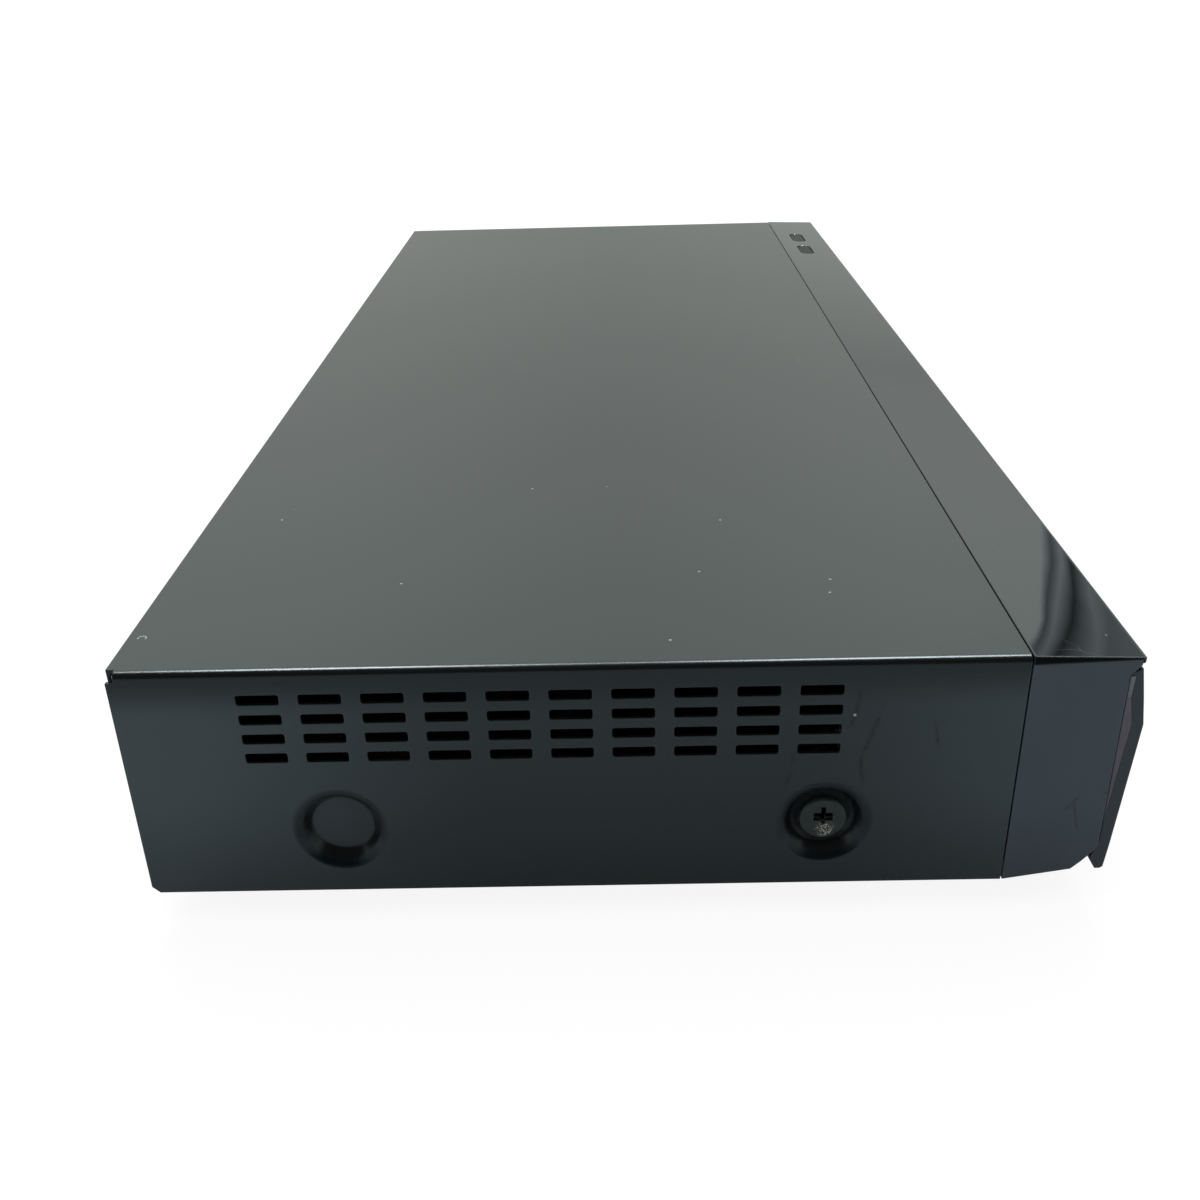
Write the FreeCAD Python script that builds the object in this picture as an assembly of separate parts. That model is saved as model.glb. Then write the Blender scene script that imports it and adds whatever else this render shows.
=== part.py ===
import FreeCAD, Part
import math
import os

# Disc recorder with a hard drive, in millimetres. X is the user's right, -Y the front, Z is up.
# The origin is on the floor under the feet, at the centre of the overall box.

# Overall shell
overall_width = 430.0
cover_depth = 172.6
cover_height = 51.7
cover_sheet = 0.8
cover_bend = 1.5
rear_flange = 8.0
relief_drop = 2.1
relief_length = 1.6
corner_chamfer = 1.5
panel_sheet = 1.0
panel_lip = 4.0
panel_lip_inset = 3.0
connector_stand_out = 8.0

# Chassis and feet
chassis_sheet = 1.0
chassis_lift = 0.5
chassis_front = 0.5
chassis_wall = 22.0
chassis_wall_front = 10.0
floor_slot_count = 9
floor_slot_pitch = 7.0
floor_slot_width = 3.0
floor_slot_length = 30.0
floor_slot_inset = 30.0
floor_slot_front = 70.0
foot_height = 7.3
foot_radius = 13.0
foot_taper = 2.0
foot_edge = 0.8
foot_web = 3.5
foot_recess_radius = 4.0
foot_inset_x = 38.0
foot_inset_y = 22.0

# Clearances. A boss is buried a little in what carries it, and a cutting tool runs past the face.
fit_gap = 0.3
seam_gap = 0.35
band_joint = 0.6
band_gap = 0.4
running_fit = 0.05
slide_gap = 0.5
touch_gap = 0.02
screw_play = 0.3
bury = 0.2
past = 1.0

# Side vents and pressed dimples
vent_columns = 10
vent_rows = 4
vent_length = 8.2
vent_height = 2.2
vent_corner = 0.5
vent_pitch_y = 11.8
vent_pitch_z = 4.34
vent_last_y = 144.6
vent_top_z = 45.4
dimple_radius = 8.0
dimple_floor_radius = 6.2
dimple_depth = 2.5
dimple_rim = 1.1
dimple_z = 15.1
dimple_front_y = 36.5
dimple_rear_y = 132.2

# Screws. The cross recess is cut in proportion to the head.
cover_screw_head = 4.8
cover_screw_head_t = 1.7
cover_screw_shank = 1.3
cover_screw_length = 5.5
rear_screw_head = 2.8
rear_screw_head_t = 1.5
rear_screw_shank = 1.2
rear_screw_length = 4.5
foot_screw_shank = 1.4
foot_screw_length = 5.5
board_screw_head = 2.6
board_screw_head_t = 1.4
board_screw_shank = 1.1
board_screw_length = 5.0
loader_screw_length = 3.5
screw_edge = 0.6
screw_edge_share = 0.42
cross_arm_share = 0.41
cross_width_share = 0.21
cross_depth_share = 0.65

# Front strip, cheeks and the frame behind them, as distances ahead of the seam and above the cover's edge
strip_depth = 21.3
strip_drop = 0.64
strip_rear_t = 1.85
strip_front_t = 0.5
strip_nose = 0.6
strip_corner = 1.0
cheek_front = 18.5
cheek_t = 2.4
cheek_slope_ahead = 13.8
cheek_slope_rise = 2.3
cheek_bend_ahead = 16.4
cheek_bend_up = 5.0
cheek_upright_low = 7.8
lip_ahead = 20.4
lip_low = 47.2
lip_high = 49.5
plate_front = 15.5
plate_t = 2.0
plate_low = 4.0
plate_high = 48.0
rail_t = 2.2
rail_rise = 3.7
rim_reach = 6.0
rim_t = 2.2
rim_side_t = 1.6
corner_web = 4.0
floor_lip_t = 1.8
floor_lip_inset = 2.0
floor_lip_front = 1.0
divider_t = 1.8
divider_inset = 2.0
divider_low = 8.0
divider_high = 46.0

# Front band: the flap, the tray's fascia and the display window share one section
band_bottom = 1.9
band_foot_ahead = 20.5
band_foot_edge = 0.4
band_low_ahead = 21.0
band_low_up = 7.6
knuckle_ahead = 23.0
knuckle_up = 36.1
shoulder_ahead = 22.1
shoulder_up = 42.0
band_top_ahead = 21.0
band_top = 48.4
band_top_land = 1.2
skin_t = 2.3
skin_top_ahead = 19.9
skin_top_t = 1.5
wedge_low = 13.0
wedge_high = 42.3
wedge_slope = 0.4
wedge_top_ahead = 19.7
heel_ahead = 17.7
heel_low = 3.9
heel_high = 4.7
heel_back_up = 9.0
band_inset = 0.6
catch_width = 6.0
window_peg_radius = 1.5
window_peg_inset = 12.0
window_peg_low = 14.0
window_peg_high = 40.0
peg_gap = 0.1

# Flap hinge
hinge_ahead = 19.4
hinge_up = 4.6
ear_radius = 1.4
ear_width = 6.0
ear_inset = 14.0
ear_arm_drop = 1.0
pin_radius = 0.7
pin_grip = 4.0
notch_height = 5.8

# Keys in the strip and their switches
key_length = 17.4
key_width = 5.4
key_ahead = 9.3
key_one_inset = 39.0
key_two_inset = 65.5
key_cap_t = 1.2
key_sink = 0.15
key_crown = 0.35
key_travel = 0.8
key_stem_radius = 1.5
key_stem_gap = 0.08
key_plunge = 0.7
key_rest_gap = 3.0
switch_side = 6.2
switch_height = 3.8
key_board_reach = 18.0
key_board_front = 4.0
key_board_rear = 9.0
key_web_reach = 14.0
key_web_t = 4.0
key_web_rear = 6.0
key_web_gap = 0.1

# Display
display_length = 104.0
display_height = 22.0
display_t = 6.0
display_edge = 0.5
display_border = 1.0
display_post_radius = 2.2
display_post_reach = 4.0
display_post_inset = 3.0
display_board_end = 9.0
display_board_side = 3.0
display_hole = 1.2
display_chip_t = 2.0
display_chips = [(20.0, 14.0, 12.0), (60.0, 8.0, 6.0)]

# Loader housing
tray_centre_x = -27.0
bay_half = 71.0
loader_low = 4.0
loader_floor_t = 2.0
loader_wall = 2.2
loader_front = 9.0
loader_top = 35.0
loader_behind = 4.0
loader_cover_sheet = 0.8
loader_cover_skirt = 10.0
loader_cover_inset = 4.0
loader_screw_inset = 8.0
loader_screw_front = 12.0
ledge_t = 2.0
ledge_reach = 3.5
tab_length = 12.0
tab_pitch = 21.5
tab_front = 0.5
floor_window_margin = 6.0
floor_window_front = 4.0
floor_window_rear = 6.0
pivot_post_t = 4.0
pivot_post_half = 4.0
rest_post_radius = 3.0
rest_post_inset = 6.0
rest_post_y = 2.0
rest_pad_radius = 5.0
rest_pad_y = 6.0

# Disc tray, its rack and the gears that move it
tray_width = 128.0
tray_low = 24.0
tray_t = 7.0
tray_length = 167.0
tray_flange_t = 1.8
tray_flange_inset = 3.0
tray_flange_low = 14.0
disc_recess_radius = 61.0
disc_recess_depth = 3.0
small_recess_radius = 41.0
small_recess_depth = 1.4
disc_centre_y = 54.0
tray_slot_half = 24.0
tray_slot_reach = 20.0
tray_slot_corner = 10.0
finger_half = 12.0
finger_front = 6.0
finger_overlap = 8.0
finger_depth = 1.5
mouth_side = 1.0
mouth_below = 0.8
mouth_above = 1.2
rack_module = 1.0
rack_height = 3.8
rack_inset = 8.5
rack_back = 2.0
rack_front = 0.5
rack_rear = 1.0
rack_slack = 0.1
pressure_angle = 20.0
tooth_tip = 0.85
tooth_root = 1.15
flank_steps = 4
root_flare = 0.02
tray_gear_teeth = 18
tray_gear_slack = 0.08
wheel_module = 0.6
wheel_teeth = 40
wheel_t = 3.2
wheel_drop = 0.4
wheel_slack = 0.06
pinion_teeth = 10
gear_y = 7.0
gear_axle_radius = 1.5
gear_axle_gap = 0.8
gear_post_radius = 3.5
gear_post_gap = 0.2
motor_radius = 9.0
motor_height = 10.0
motor_edge = 1.0
motor_shaft_radius = 0.75
motor_shaft_depth = 3.0

# Traverse
traverse_half = 38.0
traverse_front_y = 36.0
traverse_low = 12.0
traverse_t = 1.5
traverse_pivot_y = 146.0
traverse_pin_radius = 1.6
traverse_pin_reach = 4.0
rod_radius = 1.5
rod_offset = 19.5
rod_height = 16.5
rod_front_y = 68.0
rod_rear_y = 134.0
rod_block = 3.0
rod_block_half = 2.6
rod_block_above = 2.4
rod_seat = 0.8

# Spindle, clamp and pickup
spindle_radius = 12.0
spindle_height = 5.0
spindle_edge = 0.6
spindle_shaft_radius = 1.2
spindle_shaft_seat = 1.5
spindle_base_half = 14.0
spindle_base_rear = 13.0
spindle_base_t = 1.0
turntable_radius = 15.0
turntable_drop = 2.8
turntable_edge = 0.4
hub_radius = 7.3
hub_taper = 1.2
hub_height = 2.2
clamp_radius = 14.6
clamp_gap = 0.6
clamp_flange = 18.0
clamp_low = 32.3
clamp_flange_t = 1.5
clamp_cap_radius = 10.0
clamp_cap_taper = 1.5
clamp_cap_t = 2.1
clamp_recess_gap = 0.9
clamp_recess_depth = 1.8
sled_travel = 32.0
sled_front_y = 73.5
sled_length = 24.0
sled_half = 15.0
sled_drop = 2.2
sled_above = 4.0
sled_corner = 1.2
sled_window_gap = 1.2
sled_ear_length = 4.0
sled_ear_reach = 3.0
sled_ear_above = 2.6
nut_half = 2.2
nut_length = 3.8
nut_above = 2.0
lens_radius = 2.2
lens_back = 4.5
lens_low = 3.0
lens_high = 5.6
lens_curve = 6.0
lens_crown = 0.38
lens_land = 0.3
lens_tower_half = 8.0
lens_tower_length = 11.5
lens_tower_above = 1.6
screw_offset = 30.0
lead_radius = 1.2
lead_core_radius = 0.95
lead_height = 16.7
lead_ring_pitch = 1.5
lead_ring_half = 0.4
lead_journal = 2.4
lead_seat = 1.8
lead_block_back = 6.5
lead_block_t = 2.5
lead_block_half = 2.4
lead_block_above = 1.9
sled_motor_back = 2.5
sled_motor_rear = 1.5
sled_motor_foot = 1.2

# Boards and the posts under them
board_t = 1.6
board_low = 6.6
board_margin = 5.0
post_radius = 3.0
main_board_depth = 152.0
main_board_y = 14.0
power_board_width = 102.0
power_board_depth = 104.0
power_board_back = 3.0
io_board_width = 104.0
io_board_depth = 52.0
io_board_low = 14.4
io_post_front = 10.0

# Parts on the main board, placed from its left front corner
main_chip_side = 26.0
main_chip_t = 2.4
main_chip_y = 62.0
memory_chip_x = 58.0
memory_chip_y = 34.0
memory_chip_pitch = 16.0
memory_chip_count = 4
memory_chip_width = 11.0
memory_chip_length = 13.0
memory_chip_t = 1.2
flat_chip_x = 82.0
flat_chip_ys = [50.0, 74.0]
flat_chip_width = 16.0
flat_chip_length = 18.0
flat_chip_t = 1.6
coil_x = 94.0
coil_y = 30.0
coil_pitch = 9.0
coil_count = 5
coil_radius = 3.2
coil_height = 8.0
tower_x = 20.0
tower_y = 20.0
tower_side = 12.0
tower_height = 5.0
sink_side_gap = 8.0
sink_drive_gap = 8.0
sink_length = 44.0
sink_base = 3.0
sink_height = 16.0
fin_count = 9
fin_t = 1.2

# Front sockets on the small board
socket_proud = 0.3
front_usb_inset = 8.0
memory_slot_inset = 30.0
memory_slot_width = 28.0
memory_slot_height = 3.2
memory_slot_depth = 30.0
memory_wall_side = 1.9
memory_wall = 0.4
memory_back = 3.0
smart_slot_inset = 38.0
smart_slot_width = 60.0
smart_slot_lift = 8.2
smart_slot_height = 4.2
smart_slot_depth = 44.0
smart_wall_side = 2.5
smart_wall = 1.3
smart_back = 4.0
smart_leg_width = 3.0
smart_leg_length = 10.0

# Rear sockets
rear_socket_inset = 9.0
rear_socket_gap = 3.0
rear_proud = 0.4
hdmi_width = 15.0
hdmi_height = 6.4
hdmi_depth = 12.0
hdmi_wall = 0.5
hdmi_well = 9.0
hdmi_tongue_inset = 3.0
hdmi_tongue_back = 1.5
hdmi_tongue_low = 2.6
hdmi_tongue_t = 1.2
lan_width = 16.0
lan_height = 12.6
lan_depth = 21.0
lan_well = 13.0
lan_side = 2.0
lan_floor = 2.8
lan_roof = 1.8
lan_key_side = 5.0
lan_key_floor = 1.2
usb_width = 13.4
usb_height = 7.2
usb_depth = 14.0
usb_back = 2.0
usb_wall = 0.5
usb_floor = 0.9
usb_tongue_side = 1.2
usb_tongue_back = 1.5
usb_tongue_roof = 1.3
usb_tongue_t = 1.7
inlet_inset = 12.0
inlet_width = 22.0
inlet_height = 14.0
inlet_depth = 22.0
inlet_proud = 0.6
inlet_well = 13.0
inlet_lobe_radius = 4.3
inlet_lobe_half = 4.0
inlet_pin_radius = 1.2
inlet_pin_half = 4.3
inlet_pin_back = 2.0
jack_pitch = 12.5
jack_count = 2
jack_rise = 6.2
jack_block_half = 6.0
jack_block_depth = 10.0
jack_radius = 4.2
jack_bore = 1.7
jack_bore_depth = 9.0
coax_radius = 4.7
coax_core_radius = 4.35
coax_pitch = 12.5
coax_count = 4
coax_rise = 6.5
coax_ring_count = 6
coax_ring_pitch = 1.0
coax_ring_half = 0.3
coax_ring_start = 1.4
coax_bore = 0.9
coax_mouth_radius = 2.4
coax_mouth_depth = 1.2
tuner_inset = 9.0
tuner_depth = 34.0
tuner_height = 12.5
tuner_margin = 2.0
tuner_groove_side = 4.0
tuner_groove_end = 5.0
tuner_groove = 0.5

# Parts on the power board, placed from its left front corner, or its left rear corner if named rear
transformer_x = 66.0
transformer_y = 38.0
core_width = 34.0
core_length = 28.0
core_height = 22.0
core_leg = 6.0
core_yoke = 4.0
coil_overhang = 3.0
coil_slip = 0.1
coil_edge = 2.5
bobbin_inset = 2.0
bobbin_height = 4.0
can_edge = 0.8
big_can_spots = [(28.0, 46.0)]
big_can_radius = 9.0
big_can_height = 31.0
front_can_spots = [(26.0, 22.0), (88.0, 20.0), (88.0, 34.0)]
mid_can_radius = 5.0
mid_can_height = 22.0
rear_can_spots = [(88.0, -30.0), (72.0, -16.0)]
small_can_radius = 4.0
small_can_height = 17.0
heat_plate_x = 48.0
heat_plate_front = 10.0
heat_plate_rear = 38.0
heat_plate_length = 30.0
heat_plate_t = 2.0
heat_plate_height = 24.0
heat_plate_shelf = 9.0

# Hard drive and its bracket
drive_width = 101.6
drive_length = 147.0
drive_t = 26.1
drive_low = 22.0
drive_inset = 4.0
drive_ahead = 2.0
drive_corner = 3.0
drive_lid_y = 62.0
drive_lid_outer = 44.0
drive_lid_inner = 30.0
drive_lid_groove = 1.0
drive_step_length = 16.0
drive_step = 3.0
drive_plug_x = 22.0
drive_plug_width = 40.0
drive_plug_length = 6.0
drive_plug_height = 5.0
bracket_sheet = 1.0
bracket_side = 2.0
bracket_front = 3.0
bracket_back = 4.0
bracket_window_side = 20.0
bracket_window_front = 25.0
bracket_window_rear = 45.0
bracket_leg_width = 10.0
bracket_leg_inset = 4.0
bracket_foot = 2.5
bracket_arm_width = 15.0
bracket_arm_back = 74.0
bracket_arm_lap = 3.0
bracket_arm_drop = 8.0
bracket_post_side = 8.0
bracket_post_back = 50.0

# Fan
fan_side = 40.0
fan_t = 10.0
fan_corner = 2.0
fan_bore = 18.8
fan_hub = 10.5
fan_hub_edge = 1.0
fan_hub_front = 0.6
fan_hub_rear = 2.0
fan_blades = 7
fan_blade_t = 1.0
fan_blade_front = 1.4
fan_blade_rear = 2.6
fan_blade_root = 1.5
fan_blade_pitch = 38.0
fan_x = -74.0
fan_z = 27.5
blade_gap = 0.7
fan_hole_radius = 1.7
fan_hole_inset = 4.0
fan_spider_t = 1.6
fan_arm_width = 2.4
fan_arm_count = 3
fan_arm_turn = 45.0
fan_axle_radius = 2.2
fan_axle_front = 2.5
grille_pitch = 4.0
grille_hole = 1.5

# Ribbon and cable
ribbon_t = 0.5
ribbon_width = 16.0
ribbon_front = 23.0
ribbon_left_inset = 1.5
ribbon_right_inset = 4.0
cable_radius = 2.0
cable_bend = 8.0
cable_high = 20.0
cable_left_inset = 14.0
cable_right_inset = 10.0
cable_left_back = 22.0
cable_left_run = 24.0
cable_right_run = 14.0
cable_right_back = 20.0
cable_behind = 5.0

# Places worked out from the sizes above
half_w = overall_width / 2
panel_setback = cover_sheet + fit_gap
rear_reach = cover_depth - panel_setback + connector_stand_out
seam = (knuckle_ahead - rear_reach) / 2
base = foot_height
top = base + cover_height
rear = seam + cover_depth
panel_y = rear - panel_setback
panel_in = panel_y - panel_sheet
floor_low = base + chassis_lift
floor_top = floor_low + chassis_sheet
inner_half = half_w - cover_sheet
flange_half = half_w - dimple_depth - cover_sheet - fit_gap
band_rear = cheek_front + band_gap
bay_left = tray_centre_x - bay_half
bay_right = tray_centre_x + bay_half
door_left = -half_w + band_inset
door_right = bay_left - band_joint / 2
fascia_left = bay_left + band_joint / 2
fascia_right = bay_right - band_joint / 2
window_left = bay_right + band_joint / 2
window_right = half_w - band_inset
left_zone = -flange_half + board_margin
right_zone = flange_half - board_margin
plate_rear_y = seam - plate_front + plate_t
board_surface = base + board_low + board_t
io_surface = base + io_board_low + board_t
loader_half = tray_width / 2 + slide_gap + loader_wall
tray_front_y = seam - band_rear
tray_rear_y = tray_front_y + tray_length
loader_rear_y = tray_rear_y + loader_behind
disc_y = seam + disc_centre_y
recess_floor = base + tray_low + tray_t - disc_recess_depth
rack_low = base + tray_low - rack_height
tray_gear_radius = rack_module * tray_gear_teeth / 2
rack_pitch_x = tray_centre_x + tray_width / 2 - rack_inset
gear_x = rack_pitch_x - tray_gear_radius
gear_row_y = seam + gear_y
pinion_x = gear_x - wheel_module * (wheel_teeth + pinion_teeth) / 2
wheel_top = rack_low - wheel_drop
wheel_low = wheel_top - wheel_t
motor_low = base + loader_low + loader_floor_t
motor_top = motor_low + motor_height
plate_top = base + traverse_low + traverse_t
pivot_y = seam + traverse_pivot_y
pivot_z = base + traverse_low + traverse_t / 2
turntable_low = plate_top + spindle_height + fit_gap
lead_x = tray_centre_x + screw_offset
lead_z = base + lead_height
lead_block_y = seam + sled_front_y + sled_length - lead_block_back
sled_motor_y = seam + rod_rear_y - sled_motor_back
lens_y = seam + sled_front_y + lens_back
fan_y = panel_in - fan_t
key_board_top = base + cover_height - strip_rear_t - key_cap_t - switch_height - key_rest_gap
switch_top = key_board_top + switch_height
key_y = seam - key_ahead
key_top = top - strip_drop * key_ahead / strip_depth - key_sink
display_z = base + (band_bottom + band_top) / 2
display_left = (window_left + window_right - display_length) / 2
display_right = display_left + display_length
display_front_y = plate_rear_y + running_fit
display_board_y = plate_rear_y + display_t + fit_gap
drive_right = right_zone - drive_inset
drive_left = drive_right - drive_width
drive_front_y = seam + main_board_y - drive_ahead
drive_rear_y = drive_front_y + drive_length
drive_z = base + drive_low
main_left = bay_right + board_margin
main_front_y = seam + main_board_y
main_chip_x = (sink_side_gap + drive_left - sink_drive_gap - main_left) / 2
power_right = left_zone + power_board_width
power_rear_y = panel_in - power_board_back
power_front_y = power_rear_y - power_board_depth
io_right = left_zone + io_board_width
io_front_y = plate_rear_y + fit_gap


def vec(x, y, z):
    return FreeCAD.Vector(x, y, z)


def box(x0, x1, y0, y1, z0, z1):
    """A block between two corners, given in any order."""
    low = vec(min(x0, x1), min(y0, y1), min(z0, z1))
    return Part.makeBox(abs(x1 - x0), abs(y1 - y0), abs(z1 - z0), low)


def rod(radius, start, end):
    line = end.sub(start)
    return Part.makeCylinder(radius, line.Length, start, line)


def rod_x(radius, x0, x1, y, z):
    return rod(radius, vec(x0, y, z), vec(x1, y, z))


def rod_y(radius, x, y0, y1, z):
    return rod(radius, vec(x, y0, z), vec(x, y1, z))


def rod_z(radius, x, y, z0, z1):
    return rod(radius, vec(x, y, z0), vec(x, y, z1))


def ring_y(inner, outer, half, x, y, z):
    """A low double cone round an axis along Y."""
    front = Part.makeCone(inner, outer, half, vec(x, y, z), vec(0, 1, 0))
    back = Part.makeCone(outer, inner, half, vec(x, y + half, z), vec(0, 1, 0))
    return [front, back]


def fuse(shapes):
    first = shapes[0]
    return first.multiFuse(shapes[1:]).removeSplitter() if len(shapes) > 1 else first


def cut(shape, tools):
    return shape.cut(tools)


def line_edges(shape, direction):
    """The straight edges that run along a direction."""
    found = []
    for edge in shape.Edges:
        if isinstance(edge.Curve, Part.Line) and abs(edge.Curve.Direction.dot(direction)) > 0.999:
            found.append(edge)
    return found


def circle_edges(shape):
    return [edge for edge in shape.Edges if isinstance(edge.Curve, Part.Circle)]


def outline_face(points, place):
    """Closes an outline. A point marked as through is the middle of an arc between its neighbours."""
    edges = []
    loop = points + [points[0]]
    index = 0
    while index < len(loop) - 1:
        start = place(loop[index])
        if len(loop[index + 1]) == 3:
            edges.append(Part.Arc(start, place(loop[index + 1]), place(loop[index + 2])).toShape())
            index += 2
        else:
            edges.append(Part.LineSegment(start, place(loop[index + 1])).toShape())
            index += 1
    return Part.Face(Part.Wire(edges))


def prism_x(section, x0, x1):
    """Section points are (y, z); the solid runs from x0 to x1."""
    face = outline_face(section, lambda point: vec(x0, point[0], point[1]))
    return face.extrude(vec(x1 - x0, 0, 0))


def prism_y(section, y0, y1):
    """Section points are (x, z); the solid runs from y0 to y1."""
    face = outline_face(section, lambda point: vec(point[0], y0, point[1]))
    return face.extrude(vec(0, y1 - y0, 0))


def prism_z(outline, z0, z1):
    """Outline points are (x, y); the solid runs from z0 to z1."""
    face = outline_face(outline, lambda point: vec(point[0], point[1], z0))
    return face.extrude(vec(0, 0, z1 - z0))


def front_section(points):
    """Turns (distance ahead of the seam, height above the cover's edge) into row places."""
    return [(seam - point[0], base + point[1]) + tuple(point[2:]) for point in points]


def rounded_bar(length, width, x, y, z0, z1):
    """A bar along X with round ends, upright between two heights."""
    radius = width / 2 - touch_gap / 2
    body = box(x - length / 2, x + length / 2, y - width / 2, y + width / 2, z0, z1)
    return body.makeFillet(radius, line_edges(body, vec(0, 0, 1)))


def mirrored(shape):
    return shape.mirror(vec(0, 0, 0), vec(1, 0, 0))


def export(name, shapes):
    """Writes one piece, or a group of like pieces, as a named part."""
    solids = []
    for shape in shapes if isinstance(shapes, list) else [shapes]:
        solids += shape.Solids
    kept = solids[0] if len(solids) == 1 else Part.makeCompound(solids)
    kept.exportStep("parts/" + name + ".step")


# Cover

def dimple_place(y_back, side):
    return vec(side * half_w, seam + y_back, base + dimple_z)


def dimple_punch(centre, side, from_depth, grow):
    """The cone pressed into a side wall, from a depth below the wall's face to its floor."""
    inward = vec(-side, 0, 0)
    slope = (dimple_radius - dimple_floor_radius) / dimple_depth
    wide = dimple_radius + grow - slope * from_depth
    narrow = dimple_floor_radius + grow
    start = centre.add(inward * from_depth)
    return Part.makeCone(wide, narrow, dimple_depth + grow - from_depth, start, inward)


def dimple_rims(shape):
    """The round edges where the dimples meet the side walls."""
    found = []
    for edge in circle_edges(shape):
        on_wall = abs(abs(edge.Curve.Center.x) - half_w) < touch_gap
        upright = abs(abs(edge.Curve.Axis.x) - 1) < 1e-6
        if on_wall and upright and abs(edge.Curve.Radius - dimple_radius) < fit_gap:
            found.append(edge)
    return found


def vent_tools():
    tools = []
    for column in range(vent_columns):
        for row in range(vent_rows):
            y = seam + vent_last_y - column * vent_pitch_y
            z = base + vent_top_z - row * vent_pitch_z
            slot = box(-half_w - past, half_w + past, y - vent_length / 2, y + vent_length / 2,
                       z - vent_height / 2, z + vent_height / 2)
            tools.append(slot.makeFillet(vent_corner, line_edges(slot, vec(1, 0, 0))))
    return tools


def bent_block(inset, y0, y1, low, radius):
    """A block as wide as the cover, with its two long top edges rounded."""
    block = box(-half_w + inset, half_w - inset, y0, y1, low, top - inset)
    upper = [edge for edge in line_edges(block, vec(0, 1, 0)) if edge.CenterOfMass.z > top - inset - past]
    return block.makeFillet(radius, upper)


def rear_screw_places():
    reach = half_w - foot_inset_x
    z = top - rear_flange / 2 - cover_sheet / 2
    return [(x, z) for x in (-reach, 0.0, reach)]


def cover_shell():
    """Top, two sides and a narrow flange that turns down over the rear panel's top edge."""
    outer = bent_block(0, seam, rear, base, cover_bend)
    inner = bent_block(cover_sheet, seam - past, rear - cover_sheet, base - past, cover_bend - cover_sheet)
    below_flange = box(-half_w + relief_length, half_w - relief_length, rear - cover_sheet - past,
                       rear + past,
                       base - past, top - rear_flange)
    tools = [inner, below_flange]
    for side in (-1, 1):
        tools.append(box(side * inner_half, side * (half_w - relief_length - touch_gap),
                         rear - cover_sheet - past, rear + past, base - past, top - relief_drop))
    return cut(outer, tools)


def make_top_cover():
    shell = cover_shell()
    bosses = []
    hollows = []
    for side in (-1, 1):
        for y_back in (dimple_front_y, dimple_rear_y):
            centre = dimple_place(y_back, side)
            bosses.append(dimple_punch(centre, side, cover_sheet / 2, cover_sheet))
            hollows.append(dimple_punch(centre, side, -past, 0))
    shell = cut(fuse([shell] + bosses), hollows)
    shell = shell.makeFillet(dimple_rim, dimple_rims(shell))
    tools = vent_tools()
    for side in (-1, 1):
        place = dimple_place(dimple_front_y, side)
        wall = side * half_w
        tools.append(rod_x(cover_screw_shank + slide_gap, wall,
                           wall - side * (dimple_depth + cover_sheet + past),
                           place.y, place.z))
        tools.append(box(wall - relief_length, wall + relief_length, rear - relief_length, rear + past,
                         top - relief_drop, top + past))
        chamfer = [(rear - corner_chamfer, base - touch_gap), (rear + touch_gap, base - touch_gap),
                   (rear + touch_gap, base + corner_chamfer)]
        tools.append(prism_x(chamfer, wall - relief_length, wall + relief_length))
    for x, z in rear_screw_places():
        tools.append(rod_y(rear_screw_shank + screw_play, x, rear - 2 * past, rear + past, z))
    return cut(shell, tools)


# Chassis, rear panel and feet

def foot_places():
    return [(side * (half_w - foot_inset_x), y) for side in (-1, 1)
            for y in (seam + foot_inset_y, rear - foot_inset_y)]


def corner_spots(x0, x1, y0, y1):
    return [(x, y) for x in (x0, x1) for y in (y0, y1)]


def main_board_spots():
    return corner_spots(main_left + board_margin, right_zone - board_margin,
                        main_front_y + board_margin, main_front_y + main_board_depth - board_margin)


def power_board_spots():
    return corner_spots(left_zone + board_margin, power_right - board_margin,
                        power_front_y + board_margin, power_rear_y - board_margin)


def io_board_spots():
    return corner_spots(left_zone + board_margin, io_right - board_margin,
                        seam + io_post_front, io_front_y + io_board_depth - board_margin)


def loader_spots():
    return corner_spots(tray_centre_x - loader_half + loader_screw_inset,
                        tray_centre_x + loader_half - loader_screw_inset,
                        seam + loader_screw_front, loader_rear_y - loader_screw_inset)


def floor_posts():
    """Posts under the boards and the loader: (x, y, height of the top)."""
    posts = [(x, y, base + board_low) for x, y in main_board_spots() + power_board_spots()]
    posts += [(x, y, base + io_board_low) for x, y in io_board_spots()]
    posts += [(x, y, base + loader_low) for x, y in loader_spots()]
    return posts


def floor_slots():
    """A row of air slots on each side of the floor."""
    start = half_w - floor_slot_inset
    slots = []
    for i in range(floor_slot_count):
        x = start - i * floor_slot_pitch
        slot = box(x, x - floor_slot_width, seam + floor_slot_front,
                   seam + floor_slot_front + floor_slot_length,
                   floor_low - past, floor_top + past)
        slots += [slot, mirrored(slot)]
    return slots


def make_bottom_chassis():
    parts = [box(-flange_half, flange_half, seam + chassis_front, panel_in, floor_low, floor_top)]
    for side in (-1, 1):
        outer = side * flange_half
        parts.append(box(outer, outer - side * chassis_sheet, seam + chassis_wall_front, panel_in,
                         floor_low, floor_low + chassis_wall))
    holes = floor_slots()
    for x, y, high in floor_posts():
        parts.append(rod_z(post_radius, x, y, floor_top - bury, high))
        holes.append(rod_z(board_screw_shank, x, y, floor_low - past, high + past))
    for side in (-1, 1):
        place = dimple_place(dimple_front_y, side)
        outer = side * flange_half
        holes.append(rod_x(cover_screw_shank, outer + side * past, outer - side * (chassis_sheet + past),
                           place.y, place.z))
    for x, y in foot_places():
        holes.append(rod_z(foot_screw_shank, x, y, floor_low - past, floor_top + past))
    return cut(fuse(parts), holes)


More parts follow.
